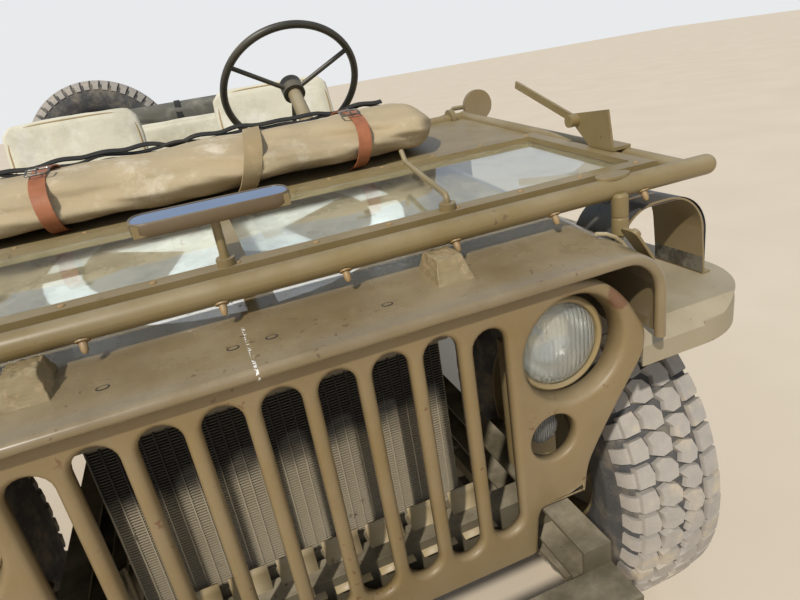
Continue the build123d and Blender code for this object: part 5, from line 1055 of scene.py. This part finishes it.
SHOULDER = [(0.3615, 0.076), (0.3585, 0.090), (0.350, 0.0975), (0.329, 0.1022), (0.328, 0.096),
            (0.348, 0.086)]
TREAD_BLOCKS = [[(-0.086, -0.42), (-0.054, -0.36), (-0.051, 0.04), (-0.057, 0.46), (-0.086, 0.40)],
                [(-0.050, -0.30), (-0.030, -0.48), (-0.006, -0.38), (-0.003, 0.06), (-0.013, 0.38),
                 (-0.034, 0.50), (-0.051, 0.36), (-0.046, 0.04)],
                [(0.001, 0.06), (0.016, -0.12), (0.038, -0.04), (0.044, 0.32), (0.037, 0.74), (0.014, 0.84),
                 (-0.007, 0.72), (0.006, 0.38)],
                [(0.049, 0.08), (0.085, 0.18), (0.086, 1.02), (0.049, 0.92), (0.049, 0.50)]]


def rubber(name, grain, dark, pale, sand, sand_colour, fine, strength, roughness):
    """Worn rubber with sand on it. Grain and sand give the noise, and sand also its range and its share."""
    material, tree, shader, spot = new_material(name)
    base = mix_colour(tree, noise_node(tree, spot, *grain), dark, pale)
    scale, low, high, share = sand
    cover = times(tree, step(tree, noise_node(tree, spot, scale, 6, 0.7), low, high), share)
    feed(tree, shader, {"Base Color": mix_colour(tree, cover, base, sand_colour), "Roughness": roughness})
    raised(tree, shader, noise_node(tree, spot, fine, 4), 0.001, strength)
    return material


def tread(name, body, spin, place=(0, 0, 0)):
    """A ring of tread blocks and shoulder blocks on a tyre that turns about the X axis."""
    bm = bmesh.new()
    pitch = 2 * math.pi / TREAD_STEPS
    for outline in TREAD_BLOCKS:
        levels = []
        centre_x = sum(px for px, _ in outline) / len(outline)
        centre_t = sum(t for _, t in outline) / len(outline)
        for depth, shrink in ((-0.004, 0.0), (TREAD_DEPTH * 0.80, 0.0012), (TREAD_DEPTH, 0.0026)):
            ring = []
            for px, t in outline:
                x = px + math.copysign(min(shrink, abs(px - centre_x)), centre_x - px)
                turn = spin * (t + (centre_t - t) * shrink * 14) * pitch
                radius = CROWN_RADIUS - CROWN_DROP * (abs(x) / TREAD_HALF) ** 3 + depth
                ring.append(bm.verts.new((x, radius * math.sin(turn), radius * math.cos(turn))))
            levels.append(ring)
        lofted(bm, levels)
        bm.faces.new(levels[-1])
    for side, first, last in ((-1, -0.38, 0.22), (1, 0.24, 0.84)):
        turns = [spin * (first + (last - first) * part / 3) * pitch for part in range(4)]
        prism(bm, *[[(side * x, radius * math.sin(turn), radius * math.cos(turn)) for radius, x in SHOULDER]
                    for turn in turns])
    return copied(bm, name, block_rubber, body, TREAD_STEPS, turn=TREAD_TURN, place=place)


tyre_rubber = rubber("tyre_rubber", (60, 4), rgb(58, 58, 58), rgb(92, 91, 90), (13, 0.44, 0.66, 0.55),
                     rgb(150, 138, 118), 320, 0.5, 0.88)
block_rubber = rubber("tread_rubber", (45, 5), rgb(148, 142, 134), rgb(178, 170, 158), (20, 0.5, 0.7, 0.6),
                      rgb(196, 180, 152), 260, 0.6, 0.85)
wheel_paint = painted("wheel_paint", rgb(124, 108, 72), dust=0.7, chips=0.8)
for axle, y in AXLES:
    for side, side_name in ((1, "left"), (-1, "right")):
        label = axle + "_" + side_name
        place = (side * TRACK_HALF, y, TYRE_RADIUS)
        carcass = turned("carcass_" + label, tyre_rubber, label + "_wheel", "tyre", 50,
                         (CARCASS, facing_to(place, (1, 0, 0)), 96, "ring"))
        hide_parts("tyre_" + label)
        tread("tread_" + label, label + "_wheel", side, place)
        dress(wheel_paint, "wheel_" + label)
dress(wheel_paint, "spare_wheel")
spare_middle = sum(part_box("spare_tyre"), Vector()) / 2
spare_carcass = turned("carcass_spare", tyre_rubber, "root", "tyre", 50,
                       (CARCASS, facing_to(spare_middle, (0, 1, 0)), 96, "ring"))
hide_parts("spare_tyre")
spare_tread = tread("tread_spare", "root", 1)
spare_tread.data.transform(Matrix.Translation(spare_middle) @ Matrix.Rotation(math.radians(90), 4, "Z"))


# Lamp guard: a bent sheet arch on the left fender, blue-black outside and bare galvanised inside, with dark
# stains. Thin skins lie on the sheet, which is bolted down by its feet.
GUARD_X, GUARD_HALF_WIDTH, GUARD_TOP, GUARD_BEND, GUARD_FOOT = 0.650, 0.090, 0.936, 0.070, 0.792
GUARD_FRONT, GUARD_BACK, GUARD_SHEET = -1.3895, -1.2805, 0.003
SKIN_GAP, SKIN_OUT = 0.0002, 0.0009


def guard_skin(grow):
    """The arch's outline, grown by a distance."""
    half, top, bend = GUARD_HALF_WIDTH + grow, GUARD_TOP + grow, GUARD_BEND + grow
    points = [(GUARD_X - half, GUARD_FOOT)]
    for centre, start in ((-half + bend, math.pi), (half - bend, math.pi / 2)):
        for k in range(13):
            turn = start - math.pi / 2 * k / 12
            points.append((GUARD_X + centre + bend * math.cos(turn), top - bend + bend * math.sin(turn)))
    return points + [(GUARD_X + half, GUARD_FOOT)]


blued = painted("guard_blue_black", rgb(58, 60, 62), dust=0.35, chips=0.5, roughness=0.22,
                chip=rgb(110, 100, 84))
for name, skin, inner, outer in (
        ("guard_outside", blued, SKIN_GAP, SKIN_OUT),
        ("guard_inside", bare_steel, -GUARD_SHEET - SKIN_OUT, -GUARD_SHEET - SKIN_GAP)):
    bm = bmesh.new()
    corners = ((inner, GUARD_FRONT), (outer, GUARD_FRONT), (outer, GUARD_BACK), (inner, GUARD_BACK))
    rows = [[bm.verts.new((x, y, z)) for x, z in guard_skin(grow)] for grow, y in corners]
    lofted(bm, rows + rows[:1], closed=False)
    finish_piece(bm, name, skin, "root", sharp=50)


# Other painted parts: the cast engine block, the rusty exhaust pipe, the steering wheel in black and the two
# pressed fenders, whose paint is paler with dust. All of them are the frame's own shapes.
dress(painted("engine_grey_green", rgb(86, 92, 78), dust=0.8, chips=0.7, roughness=0.5), "engine")
dress(painted("exhaust_rust", rgb(96, 66, 46), dust=0.5, chips=1.0, roughness=0.8, chip=rgb(60, 40, 30)),
      "exhaust")
dress(painted("steering_black", rgb(52, 50, 40), dust=0.3, chips=0.3, roughness=0.35, chip=rgb(96, 84, 60)),
      "steering_wheel")
dress(painted("fender_paint", rgb(148, 136, 110), dust=0.7, chips=0.6), "fender_left", "fender_right")
